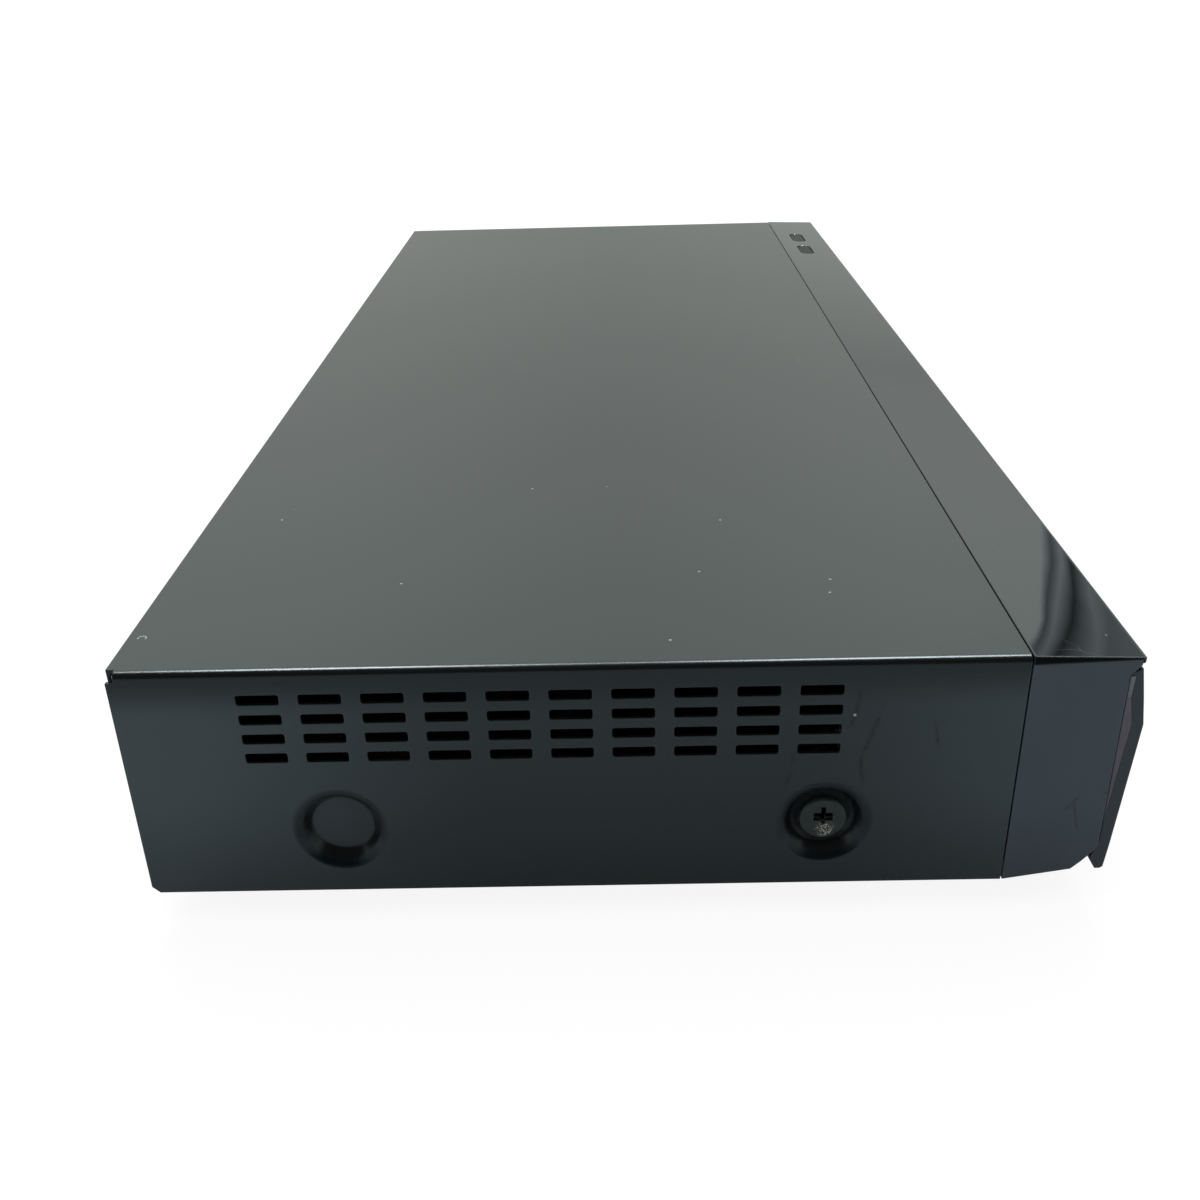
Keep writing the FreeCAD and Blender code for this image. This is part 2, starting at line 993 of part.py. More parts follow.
def make_feet():
    feet = []
    for x, y in foot_places():
        body = Part.makeCone(foot_radius - foot_taper, foot_radius, floor_low, vec(x, y, 0), vec(0, 0, 1))
        bottom = [edge for edge in circle_edges(body) if edge.Curve.Center.z < floor_low / 2]
        body = body.makeFillet(foot_edge, bottom)
        recess = rod_z(foot_recess_radius, x, y, -past, floor_low - foot_web)
        hole = rod_z(foot_screw_shank + screw_play, x, y, -past, floor_low + past)
        feet.append(cut(body, [recess, hole]))
    return feet


def fan_grille():
    """Round holes on a square grid, as far as the fan's bore reaches."""
    reach = fan_bore - grille_hole
    steps = int(reach // grille_pitch)
    holes = []
    for column in range(-steps, steps + 1):
        for row in range(-steps, steps + 1):
            if math.hypot(column, row) * grille_pitch <= reach:
                holes.append(rod_y(grille_hole, fan_x + column * grille_pitch, panel_in - past,
                                   panel_y + past,
                                   base + fan_z + row * grille_pitch))
    return holes


def make_rear_panel():
    half = inner_half - fit_gap
    lip_half = flange_half - panel_lip_inset
    plate = box(-half, half, panel_in, panel_y, floor_top, top - cover_sheet - fit_gap)
    lip = box(-lip_half, lip_half, panel_in - panel_lip, panel_in, floor_top, floor_top + panel_sheet)
    holes = fan_grille()
    for x0, x1, z0, z1 in rear_openings().values():
        holes.append(box(x0 - fit_gap, x1 + fit_gap, panel_in - past, panel_y + past, z0 - fit_gap,
                         z1 + fit_gap))
    for x, z in coax_places():
        holes.append(rod_y(coax_radius + fit_gap, x, panel_in - past, panel_y + past, z))
    for x, z in jack_places():
        holes.append(rod_y(jack_radius + fit_gap, x, panel_in - past, panel_y + past, z))
    for x, z in rear_screw_places():
        holes.append(rod_y(rear_screw_shank, x, panel_in - past, panel_y + past, z))
    return cut(fuse([plate, lip]), holes)


# Front frame

def strip_seat():
    """Top line of the frame, where the gloss strip lies on it."""
    return [(lip_ahead, cover_height - strip_drop - strip_front_t), (seam_gap, cover_height - strip_rear_t)]


def cheek_section():
    return front_section([(seam_gap, 0.0), (cheek_slope_ahead, cheek_slope_rise),
                          (cheek_bend_ahead, cheek_bend_up, "through"), (cheek_front, cheek_upright_low),
                          (cheek_front, lip_low), (lip_ahead, lip_high)] + strip_seat())


def shelf_section():
    return front_section([(seam_gap, lip_low), (cheek_front, lip_low),
                          (lip_ahead, lip_high)] + strip_seat())


def rail_section():
    return front_section([(seam_gap, 0.0), (cheek_slope_ahead, cheek_slope_rise), (plate_front, rail_rise),
                          (plate_front, rail_rise + rail_t),
                          (plate_front - plate_t, cheek_slope_rise + rail_t),
                          (seam_gap, rail_t)])


def ear_places():
    return [door_left + ear_inset, door_right - ear_inset]


def key_places():
    return [half_w - key_one_inset, half_w - key_two_inset]


def io_openings():
    """Openings in the front plate behind the flap: (x0, x1, z0, z1)."""
    usb_x = left_zone + front_usb_inset
    memory_x = left_zone + memory_slot_inset
    smart_x = left_zone + smart_slot_inset
    smart_z = io_surface + smart_slot_lift
    return {
        "usb": (usb_x, usb_x + usb_width, io_surface, io_surface + usb_height),
        "memory": (memory_x, memory_x + memory_slot_width, io_surface, io_surface + memory_slot_height),
        "smart": (smart_x, smart_x + smart_slot_width, smart_z, smart_z + smart_slot_height),
    }


def frame_walls():
    """Cheeks, shelf, rail, front plate and the rims that sit inside the cover."""
    span = half_w - cheek_t / 2
    front = seam - plate_front
    parts = [prism_x(shelf_section(), -span, span), prism_x(rail_section(), -span, span)]
    parts.append(box(-span, span, front, plate_rear_y, base + plate_low, base + plate_high))
    rim_half = inner_half - fit_gap
    rim_top = top - cover_sheet - fit_gap
    rim_rear = seam + rim_reach
    parts.append(box(-rim_half, rim_half, seam - seam_gap, rim_rear, rim_top - rim_t, rim_top))
    for side in (-1, 1):
        wall = side * half_w
        edge = side * rim_half
        parts.append(prism_x(cheek_section(), wall, wall - side * cheek_t))
        parts.append(box(edge, edge - side * rim_side_t, seam - seam_gap, rim_rear, base + plate_low,
                         rim_top))
        parts.append(box(edge, edge - side * corner_web, front, seam - seam_gap, base + plate_low,
                         base + plate_high))
    lip_half = flange_half - floor_lip_inset
    parts.append(box(-lip_half, lip_half, seam - seam_gap - floor_lip_front, rim_rear,
                     floor_top, floor_top + floor_lip_t))
    for x in (door_right - divider_inset - divider_t, window_left + divider_inset):
        parts.append(box(x, x + divider_t, seam - cheek_front, front, base + divider_low,
                         base + divider_high))
    return parts


def hinge_ears():
    ears = []
    y = seam - hinge_ahead
    z = base + hinge_up
    for x in ear_places():
        x0 = x - ear_width / 2
        x1 = x + ear_width / 2
        ears.append(rod_x(ear_radius, x0, x1, y, z))
        ears.append(box(x0, x1, y, seam - plate_front + slide_gap, z - ear_arm_drop, z + ear_radius))
    return ears


def key_webs():
    """Two webs under the shelf that carry the key board."""
    webs = []
    for x in (key_places()[0] + key_web_reach, key_places()[1] - key_web_reach):
        webs.append(box(x - key_web_t / 2, x + key_web_t / 2, key_y - key_board_front - key_web_gap,
                        key_y + key_web_rear, key_board_top, base + lip_low + fit_gap))
    return webs


def display_post_spots():
    reach = display_height / 2 - display_post_inset
    return [(x, z) for x in (display_left - display_post_reach, display_right + display_post_reach)
            for z in (display_z - reach, display_z + reach)]


def window_pegs():
    return [(x, base + up) for x in (window_left + window_peg_inset, window_right - window_peg_inset)
            for up in (window_peg_low, window_peg_high)]


def plate_window(x0, x1, z0, z1):
    """A tool that opens the front plate."""
    return box(x0, x1, seam - plate_front - past, plate_rear_y + past, z0, z1)


def make_front_frame():
    parts = frame_walls() + hinge_ears() + key_webs()
    for x, z in display_post_spots():
        parts.append(rod_y(display_post_radius, x, seam - plate_front + past, display_board_y, z))
    tools = []
    for x0, x1, z0, z1 in io_openings().values():
        tools.append(plate_window(x0 - fit_gap, x1 + fit_gap, z0 - fit_gap, z1 + fit_gap))
    mouth_half = tray_width / 2 + mouth_side
    tools.append(plate_window(tray_centre_x - mouth_half, tray_centre_x + mouth_half,
                              rack_low - mouth_below, base + tray_low + tray_t + mouth_above))
    shown_half = display_height / 2 - display_border
    tools.append(plate_window(display_left + display_border, display_right - display_border,
                              display_z - shown_half, display_z + shown_half))
    for x in key_places():
        tools.append(rounded_bar(key_length + 2 * slide_gap, key_width + 2 * slide_gap, x, key_y,
                                 base + lip_low - 3 * past, top + past))
    for x in ear_places():
        tools.append(rod_x(pin_radius + running_fit, x - ear_width, x + ear_width, seam - hinge_ahead,
                           base + hinge_up))
    for x, z in window_pegs():
        tools.append(rod_y(window_peg_radius + peg_gap, x, seam - plate_front - past, plate_rear_y + past,
                           z))
    return cut(fuse(parts), tools)


def strip_outline():
    """A block over the strip whose two front corners are rounded."""
    block = box(-half_w, half_w, seam - strip_depth, seam + past, base + lip_low - past, top + past)
    front = [edge for edge in line_edges(block, vec(0, 0, 1)) if edge.CenterOfMass.y < seam - cheek_front]
    return block.makeFillet(strip_corner, front)


def make_front_top_trim():
    front_top = cover_height - strip_drop
    section = front_section([(seam_gap, cover_height - strip_rear_t), (seam_gap, cover_height),
                             (strip_depth - strip_nose, front_top),
                             (strip_depth, front_top - strip_nose, "through"),
                             (strip_depth - strip_nose, front_top - 2 * strip_nose),
                             (lip_ahead, front_top - 2 * strip_nose),
                             (lip_ahead, front_top - strip_front_t)])
    body = prism_x(section, -half_w, half_w).common(strip_outline())
    tools = []
    for x in key_places():
        tools.append(rounded_bar(key_length + 2 * fit_gap, key_width + 2 * fit_gap, x, key_y,
                                 base + lip_low - past, top + past))
    return cut(body, tools)


# Front band

def skin_section():
    """The band's skin: it leans out to a knuckle and in again, thick at its foot and top."""
    return front_section([(band_foot_ahead, band_bottom + band_foot_edge), (band_low_ahead, band_low_up),
                          (knuckle_ahead, knuckle_up), (shoulder_ahead, shoulder_up),
                          (band_top_ahead, band_top),
                          (band_rear, band_top - band_top_land), (skin_top_ahead, band_top - skin_top_t),
                          (wedge_top_ahead, wedge_high), (knuckle_ahead - skin_t, knuckle_up + wedge_slope),
                          (band_rear, wedge_low), (band_rear, heel_back_up), (heel_ahead, heel_high),
                          (heel_ahead, heel_low), (band_rear, band_bottom), (skin_top_ahead, band_bottom)])


def liner_section():
    """The smoked wedge that fills the hollow behind the skin."""
    return front_section([(band_rear, wedge_low + wedge_slope),
                          (knuckle_ahead - skin_t - touch_gap, knuckle_up + wedge_slope),
                          (wedge_top_ahead - touch_gap, wedge_high), (band_rear, wedge_high)])


def catch_section():
    """The small block above the wedge."""
    low = wedge_high + touch_gap
    high = band_top - skin_top_t - peg_gap
    return front_section([(band_rear, low), (wedge_top_ahead - touch_gap, low),
                          (skin_top_ahead - 2 * touch_gap, high), (band_rear, high)])


def band_liner(x0, x1):
    return [prism_x(liner_section(), x0, x1), prism_x(catch_section(), x0, x1)]


def make_door_skin():
    body = prism_x(skin_section(), door_left, door_right)
    tools = []
    for x in ear_places():
        half = ear_width / 2 + fit_gap
        grip = ear_width / 2 + pin_grip
        tools.append(box(x - half, x + half, seam - knuckle_ahead, seam - plate_front,
                         base, base + band_bottom + notch_height))
        tools.append(rod_x(pin_radius, x - grip, x + grip, seam - hinge_ahead, base + hinge_up))
    return cut(body, tools)


def make_door_hinge_pins():
    grip = ear_width / 2 + pin_grip - fit_gap
    return [rod_x(pin_radius - touch_gap, x - grip, x + grip, seam - hinge_ahead, base + hinge_up)
            for x in ear_places()]


def make_door_catches():
    return [prism_x(catch_section(), door_left, door_left + catch_width),
            prism_x(catch_section(), door_right - catch_width, door_right)]


def make_window_liner():
    parts = band_liner(window_left, window_right)
    for x, z in window_pegs():
        parts.append(rod_y(window_peg_radius, x, seam - band_rear - fit_gap, plate_rear_y, z))
    return cut(fuse(parts), [prism_x(skin_section(), window_left - past, window_right + past)])


# Keys

def make_key(x):
    low = key_top - key_cap_t
    cap = rounded_bar(key_length, key_width, x, key_y, low, key_top)
    upper = [edge for edge in cap.Edges if edge.CenterOfMass.z > key_top - touch_gap]
    cap = cap.makeFillet(key_crown, upper)
    stem = rod_z(key_stem_radius, x, key_y, switch_top - key_plunge, low + bury)
    return fuse([cap, stem])


def make_tact_switches():
    switches = []
    half = switch_side / 2
    for x in key_places():
        body = box(x - half, x + half, key_y - half, key_y + half, key_board_top, switch_top)
        bore = rod_z(key_stem_radius + key_stem_gap, x, key_y,
                     switch_top - key_plunge - key_travel - fit_gap,
                     switch_top + past)
        switches.append(cut(body, [bore]))
    return switches


def make_button_board():
    return box(key_places()[1] - key_board_reach, key_places()[0] + key_board_reach,
               key_y - key_board_front, key_y + key_board_rear, key_board_top - board_t, key_board_top)


# Display

def make_display_tube():
    half = display_height / 2
    glass = box(display_left, display_right, display_front_y, display_front_y + display_t,
                display_z - half, display_z + half)
    front = [edge for edge in glass.Edges if edge.CenterOfMass.y < display_front_y + touch_gap]
    return glass.makeChamfer(display_edge, front)


def make_display_board():
    half = display_height / 2 + display_board_side
    y0 = display_board_y
    y1 = y0 + board_t
    parts = [box(display_left - display_board_end, display_right + display_board_end, y0, y1,
                 display_z - half, display_z + half)]
    for x, length, height in display_chips:
        x0 = display_left + x
        parts.append(box(x0, x0 + length, y1, y1 + display_chip_t, display_z - height / 2,
                         display_z + height / 2))
    holes = [rod_y(display_hole, x, y0 - past, y1 + past, z) for x, z in display_post_spots()]
    return cut(fuse(parts), holes)


# Boards

def board(x0, x1, y0, y1, surface, spots):
    plate = box(x0, x1, y0, y1, surface - board_t, surface)
    holes = [rod_z(board_screw_shank + screw_play, x, y, surface - board_t - past, surface + past)
             for x, y in spots]
    return cut(plate, holes)


def make_main_board():
    return board(main_left, right_zone, main_front_y, main_front_y + main_board_depth, board_surface,
                 main_board_spots())


def make_power_board():
    return board(left_zone, power_right, power_front_y, power_rear_y, board_surface, power_board_spots())


def make_io_board():
    return board(left_zone, io_right, io_front_y, io_front_y + io_board_depth, io_surface, io_board_spots())


def chip(x, y, width, length, height):
    """A block on the main board, centred on a place measured from the board's left front corner."""
    cx = main_left + x
    cy = main_front_y + y
    return box(cx - width / 2, cx + width / 2, cy - length / 2, cy + length / 2,
               board_surface, board_surface + height)


def make_main_chips():
    chips = [chip(main_chip_x, main_chip_y, main_chip_side, main_chip_side, main_chip_t)]
    for i in range(memory_chip_count):
        chips.append(chip(memory_chip_x, memory_chip_y + i * memory_chip_pitch, memory_chip_width,
                          memory_chip_length, memory_chip_t))
    for y in flat_chip_ys:
        chips.append(chip(flat_chip_x, y, flat_chip_width, flat_chip_length, flat_chip_t))
    for i in range(coil_count):
        chips.append(rod_z(coil_radius, main_left + coil_x + i * coil_pitch, main_front_y + coil_y,
                           board_surface, board_surface + coil_height))
    chips.append(chip(tower_x, tower_y, tower_side, tower_side, tower_height))
    return chips


def make_heat_sink():
    """Base and fins, between the board's left edge and the hard drive."""
    x0 = main_left + sink_side_gap
    x1 = drive_left - sink_drive_gap
    y0 = main_front_y + main_chip_y - sink_length / 2
    y1 = y0 + sink_length
    low = board_surface + main_chip_t
    parts = [box(x0, x1, y0, y1, low, low + sink_base)]
    for i in range(fin_count):
        x = x0 + i * (x1 - x0 - fin_t) / (fin_count - 1)
        parts.append(box(x, x + fin_t, y0, y1, low + sink_base - bury, low + sink_height))
    return fuse(parts)


# Rear sockets

def rear_openings():
    """Each rear socket's outline in the panel: (x0, x1, z0, z1)."""
    low = board_surface
    hdmi_x = main_left + rear_socket_inset
    lan_x = hdmi_x + hdmi_width + rear_socket_gap
    usb_x = lan_x + lan_width + rear_socket_gap
    inlet_x = left_zone + inlet_inset
    return {
        "hdmi": (hdmi_x, hdmi_x + hdmi_width, low, low + hdmi_height),
        "lan": (lan_x, lan_x + lan_width, low, low + lan_height),
        "usb": (usb_x, usb_x + usb_width, low, low + usb_height),
        "inlet": (inlet_x, inlet_x + inlet_width, low, low + inlet_height),
    }


def jack_places():
    """Two phono jacks, one over the other, beside the last socket."""
    x = rear_openings()["usb"][1] + rear_socket_gap + jack_block_half
    return [(x, board_surface + jack_rise + i * jack_pitch) for i in range(jack_count)]


def coax_places():
    last = right_zone - tuner_inset - tuner_margin - coax_radius
    return [(last - i * coax_pitch, board_surface + coax_rise) for i in range(coax_count)]


def make_hdmi_socket():
    x0, x1, z0, z1 = rear_openings()["hdmi"]
    mouth = panel_y + rear_proud
    shell = box(x0, x1, mouth - hdmi_depth, mouth, z0, z1)
    well = box(x0 + hdmi_wall, x1 - hdmi_wall, mouth - hdmi_well, mouth + past, z0 + hdmi_wall,
               z1 - hdmi_wall)
    tongue = box(x0 + hdmi_tongue_inset, x1 - hdmi_tongue_inset, mouth - hdmi_well - bury,
                 mouth - hdmi_tongue_back, z0 + hdmi_tongue_low, z0 + hdmi_tongue_low + hdmi_tongue_t)
    return fuse([cut(shell, [well]), tongue])


def make_lan_socket():
    x0, x1, z0, z1 = rear_openings()["lan"]
    mouth = panel_y + rear_proud
    shell = box(x0, x1, mouth - lan_depth, mouth, z0, z1)
    well = box(x0 + lan_side, x1 - lan_side, mouth - lan_well, mouth + past, z0 + lan_floor, z1 - lan_roof)
    key = box(x0 + lan_key_side, x1 - lan_key_side, mouth - lan_well, mouth + past,
              z0 + lan_key_floor, z0 + lan_floor + bury)
    return cut(shell, [well, key])


def usb_socket(opening, mouth, inward):
    """A socket whose mouth faces the other way from inward, along Y."""
    x0, x1, z0, z1 = opening
    back = mouth + inward * usb_depth
    body = box(x0, x1, mouth, back, z0, z1)
    well = box(x0 + usb_wall, x1 - usb_wall, mouth - inward * past, back - inward * usb_back,
               z0 + usb_floor, z1 - usb_wall)
    roof = z1 - usb_tongue_roof
    tongue = box(x0 + usb_tongue_side, x1 - usb_tongue_side, mouth + inward * usb_tongue_back, back,
                 roof - usb_tongue_t, roof)
    return fuse([cut(body, [well]), tongue])


def make_usb_sockets():
    return [usb_socket(io_openings()["usb"], seam - plate_front + socket_proud, 1),
            usb_socket(rear_openings()["usb"], panel_y + rear_proud, -1)]


def make_av_jacks():
    """One moulded block with two barrels that stand out of the panel."""
    places = jack_places()
    x = places[0][0]
    tip = panel_y + connector_stand_out
    parts = [box(x - jack_block_half, x + jack_block_half, panel_in - jack_block_depth, panel_in,
                 board_surface, places[-1][1] + jack_block_half)]
    bores = []
    for place_x, z in places:
        parts.append(rod_y(jack_radius, place_x, panel_in - past, tip, z))
        bores.append(rod_y(jack_bore, place_x, panel_in - jack_bore_depth, tip + past, z))
    return cut(fuse(parts), bores)


def make_tuner_box():
    places = coax_places()
    x0 = places[-1][0] - coax_radius - tuner_margin
    x1 = places[0][0] + coax_radius + tuner_margin
    y0 = panel_in - tuner_depth
    high = board_surface + tuner_height
    body = box(x0, x1, y0, panel_in, board_surface, high)
    groove = box(x0 + tuner_groove_side, x1 - tuner_groove_side, y0 + tuner_groove_end,
                 panel_in - tuner_groove_end, high - tuner_groove, high + past)
    return cut(body, [groove])


def make_antenna_connectors():
    connectors = []
    tip = panel_y + connector_stand_out
    for x, z in coax_places():
        parts = [rod_y(coax_core_radius, x, panel_in, tip, z)]
        for i in range(coax_ring_count):
            y = panel_y + coax_ring_start + i * coax_ring_pitch
            parts += ring_y(coax_core_radius, coax_radius, coax_ring_half, x, y, z)
        bore = rod_y(coax_bore, x, panel_in + past, tip + past, z)
        mouth = rod_y(coax_mouth_radius, x, tip - coax_mouth_depth, tip + past, z)
        connectors.append(cut(fuse(parts), [bore, mouth]))
    return connectors


def make_ac_inlet():
    x0, x1, z0, z1 = rear_openings()["inlet"]
    mouth = panel_y + inlet_proud
    cx = (x0 + x1) / 2
    cz = (z0 + z1) / 2
    body = box(x0, x1, mouth - inlet_depth, mouth, z0, z1)
    well = [box(cx - inlet_lobe_half, cx + inlet_lobe_half, mouth - inlet_well, mouth + past,
                cz - inlet_lobe_radius, cz + inlet_lobe_radius)]
    pins = []
    for side in (-1, 1):
        well.append(rod_y(inlet_lobe_radius, cx + side * inlet_lobe_half, mouth - inlet_well, mouth + past,
                          cz))
        pins.append(rod_y(inlet_pin_radius, cx + side * inlet_pin_half, mouth - inlet_well - past,
                          mouth - inlet_pin_back, cz))
    return fuse([cut(body, [fuse(well)])] + pins)


# Front sockets on the small board

def make_memory_card_socket():
    x0, x1, z0, z1 = io_openings()["memory"]
    mouth = seam - plate_front + socket_proud
    back = mouth + memory_slot_depth
    body = box(x0, x1, mouth, back, z0, z1)
    return cut(body, [box(x0 + memory_wall_side, x1 - memory_wall_side, mouth - past, back - memory_back,
                          z0 + memory_wall, z1 - memory_wall)])


def make_smart_card_socket():
    x0, x1, z0, z1 = io_openings()["smart"]
    mouth = seam - plate_front + socket_proud
    back = mouth + smart_slot_depth
    slot = box(x0 + smart_wall_side, x1 - smart_wall_side, mouth - past, back - smart_back,
               z0 + smart_wall, z1 - smart_wall)
    parts = [cut(box(x0, x1, mouth, back, z0, z1), [slot])]
    for x in (x0, x1 - smart_leg_width):
        parts.append(box(x, x + smart_leg_width, back - smart_leg_length, back, io_surface, z0 + bury))
    return fuse(parts)


# Power supply

def make_transformer():
    """A ferrite core round a wound coil, on a bobbin's foot."""
    cx = left_zone + transformer_x
    cy = power_front_y + transformer_y
    low = board_surface + bobbin_height
    high = low + core_height
    core = box(cx - core_width / 2, cx + core_width / 2, cy - core_length / 2, cy + core_length / 2, low,
               high)
    inside = core_width / 2 - core_leg
    window = box(cx - inside, cx + inside, cy - core_length, cy + core_length, low + core_yoke,
                 high - core_yoke)
    reach = core_length / 2 + coil_overhang
    coil = box(cx - inside + coil_slip, cx + inside - coil_slip, cy - reach, cy + reach,
               low + core_yoke + coil_slip, high - core_yoke - coil_slip)
    coil = coil.makeFillet(coil_edge, line_edges(coil, vec(0, 1, 0)))
    foot_half = core_width / 2 - bobbin_inset
    foot_reach = core_length / 2 - bobbin_inset
    foot = box(cx - foot_half, cx + foot_half, cy - foot_reach, cy + foot_reach, board_surface, low)
    return [cut(core, [window]), coil, foot]


def make_power_capacitors():
    """Cans on the power board. The rear ones are placed from its rear edge."""
    groups = [(front_can_spots, power_front_y, mid_can_radius, mid_can_height),
              (big_can_spots, power_front_y, big_can_radius, big_can_height),
              (rear_can_spots, power_rear_y, small_can_radius, small_can_height)]
    cans = []
    for spots, edge_y, radius, height in groups:
        for x, y in spots:
            can = rod_z(radius, left_zone + x, edge_y + y, board_surface, board_surface + height)
            cans.append(can.makeFillet(can_edge, circle_edges(can)))
    return cans


def make_power_heat_plates():
    plates = []
    high = board_surface + heat_plate_height
    x0 = left_zone + heat_plate_x
    x1 = x0 + heat_plate_length
    for y in (power_front_y + heat_plate_front, power_rear_y - heat_plate_rear):
        wall = box(x0, x1, y, y + heat_plate_t, board_surface, high)
        shelf = box(x0, x1, y, y + heat_plate_shelf, high - heat_plate_t, high)
        plates.append(fuse([wall, shelf]))
    return plates


# Hard drive

def make_hard_drive():
    high = drive_z + drive_t
    body = box(drive_left, drive_right, drive_front_y, drive_rear_y, drive_z, high)
    body = body.makeFillet(drive_corner, line_edges(body, vec(0, 0, 1)))
    cx = (drive_left + drive_right) / 2
    cy = drive_front_y + drive_lid_y
    ring = cut(rod_z(drive_lid_outer, cx, cy, high - drive_lid_groove, high + past),
               [rod_z(drive_lid_inner, cx, cy, drive_z, high + 2 * past)])
    step = box(drive_left - past, drive_right + past, drive_rear_y - drive_step_length, drive_rear_y + past,
               high - drive_step, high + past)
    plug = box(drive_left + drive_plug_x, drive_left + drive_plug_x + drive_plug_width,
               drive_rear_y - drive_plug_length, drive_rear_y + past, drive_z - past,
               drive_z + drive_plug_height)
    return cut(body, [ring, step, plug])


def make_drive_bracket():
    """A sheet under the drive: two front legs, an arm to the chassis wall and a post on the board."""
    low = drive_z - bracket_sheet
    front = drive_front_y - bracket_front
    wall = flange_half - chassis_sheet
    plate = box(drive_left + bracket_side, drive_right - bracket_side, front, drive_rear_y - bracket_back,
                low, drive_z)
    window = box(drive_left + bracket_window_side, drive_right - bracket_window_side,
                 drive_front_y + bracket_window_front, drive_rear_y - bracket_window_rear, low - past,
                 drive_z + past)
    parts = [cut(plate, [window])]
    for x in (drive_left + bracket_leg_inset, drive_right - bracket_leg_inset - bracket_leg_width):
        parts.append(box(x, x + bracket_leg_width, front, front + bracket_sheet, floor_top, drive_z))
        parts.append(box(x, x + bracket_leg_width, front - bracket_foot, front + bracket_sheet,
                         floor_top, floor_top + bracket_sheet))
    arm_y = drive_rear_y - bracket_arm_back
    parts.append(box(drive_right - bracket_arm_lap, wall, arm_y, arm_y + bracket_arm_width, low, drive_z))
    parts.append(box(wall - bracket_sheet, wall, arm_y, arm_y + bracket_arm_width,
                     floor_top + bracket_arm_drop, drive_z))
    post_x = drive_left + bracket_leg_inset
    post_y = drive_rear_y - bracket_post_back
    parts.append(box(post_x, post_x + bracket_post_side, post_y, post_y + bracket_post_side,
                     board_surface, low + bury))
    return fuse(parts)


# Fan

def make_fan_frame():
    half = fan_side / 2
    z = base + fan_z
    body = box(fan_x - half, fan_x + half, fan_y, panel_in, z - half, z + half)
    body = body.makeFillet(fan_corner, line_edges(body, vec(0, 1, 0)))
    holes = [rod_y(fan_bore, fan_x, fan_y - past, panel_in + past, z)]
    corner = half - fan_hole_inset
    for x, up in corner_spots(-corner, corner, -corner, corner):
        holes.append(rod_y(fan_hole_radius, fan_x + x, fan_y - past, panel_in + past, z + up))
    spider_y = panel_in - fan_spider_t
    parts = [cut(body, holes), rod_y(fan_hub, fan_x, spider_y, panel_in, z)]
    for i in range(fan_arm_count):
        arm = box(fan_x - fan_arm_width / 2, fan_x + fan_arm_width / 2, spider_y, panel_in,
                  z, z + fan_bore + past)
        arm.rotate(vec(fan_x, fan_y, z), vec(0, 1, 0), 360.0 * i / fan_arm_count + fan_arm_turn)
        parts.append(arm)
    parts.append(rod_y(fan_axle_radius, fan_x, fan_y + fan_axle_front, spider_y + bury, z))
    return fuse(parts)


def make_fan_rotor():
    z = base + fan_z
    hub_front = fan_y + fan_hub_front
    hub = rod_y(fan_hub, fan_x, hub_front, panel_in - fan_hub_rear, z)
    hub = hub.makeFillet(fan_hub_edge, [edge for edge in circle_edges(hub)
                                        if edge.CenterOfMass.y < hub_front + touch_gap])
    reach = fan_bore - blade_gap
    blade_y0 = fan_y + fan_blade_front
    blade_y1 = panel_in - fan_blade_rear
    parts = [hub]
    for i in range(fan_blades):
        blade = box(fan_x - fan_blade_t / 2, fan_x + fan_blade_t / 2, blade_y0, blade_y1,
                    z + fan_hub - fan_blade_root, z + reach)
        blade.rotate(vec(fan_x, (blade_y0 + blade_y1) / 2, z), vec(0, 0, 1), fan_blade_pitch)
        blade.rotate(vec(fan_x, fan_y, z), vec(0, 1, 0), 360.0 * i / fan_blades)
        parts.append(blade)
    rotor = fuse(parts).common(rod_y(reach, fan_x, fan_y, panel_in, z))
    bore = rod_y(fan_axle_radius + running_fit, fan_x, fan_y + fan_axle_front - fit_gap, panel_in, z)
    return cut(rotor, [bore])


# Gears

def involute_angle(base_radius, radius):
    """The angle that an involute has turned through where it reaches a radius."""
    ratio = max(radius / base_radius, 1.0)
    roll = math.sqrt(ratio * ratio - 1)
    return roll - math.atan(roll)


def gear_outline(teeth, module, slack):
    """Points of a spur gear's outline round the origin, with a tooth centred on +X."""
    pitch = module * teeth / 2
    tip = pitch + tooth_tip * module
    root = pitch - tooth_root * module
    base_radius = pitch * math.cos(math.radians(pressure_angle))
    half_tooth = math.pi / (2 * teeth) - slack / pitch
    at_pitch = involute_angle(base_radius, pitch)
    low = max(base_radius, root)
    flank = []
    for i in range(flank_steps + 1):
        radius = low + (tip - low) * i / flank_steps
        flank.append((radius, half_tooth + at_pitch - involute_angle(base_radius, radius)))
    foot = flank[0][1] + root_flare
    points = []
    for tooth in range(teeth):
        middle = 2 * math.pi * tooth / teeth
        points.append((root, middle - math.pi / teeth))
        points.append((root, middle - foot))
        points += [(radius, middle - angle) for radius, angle in flank]
        points += [(radius, middle + angle) for radius, angle in reversed(flank)]
        points.append((root, middle + foot))
    return [(radius * math.cos(angle), radius * math.sin(angle)) for radius, angle in points]


def spur_gear(teeth, module, slack, x, z0, z1, turn):
    """A gear on an upright axis in the gear row."""
    gear = prism_z(gear_outline(teeth, module, slack), z0, z1)
    gear.rotate(vec(0, 0, 0), vec(0, 0, 1), turn)
    gear.translate(vec(x, gear_row_y, 0))
    return gear


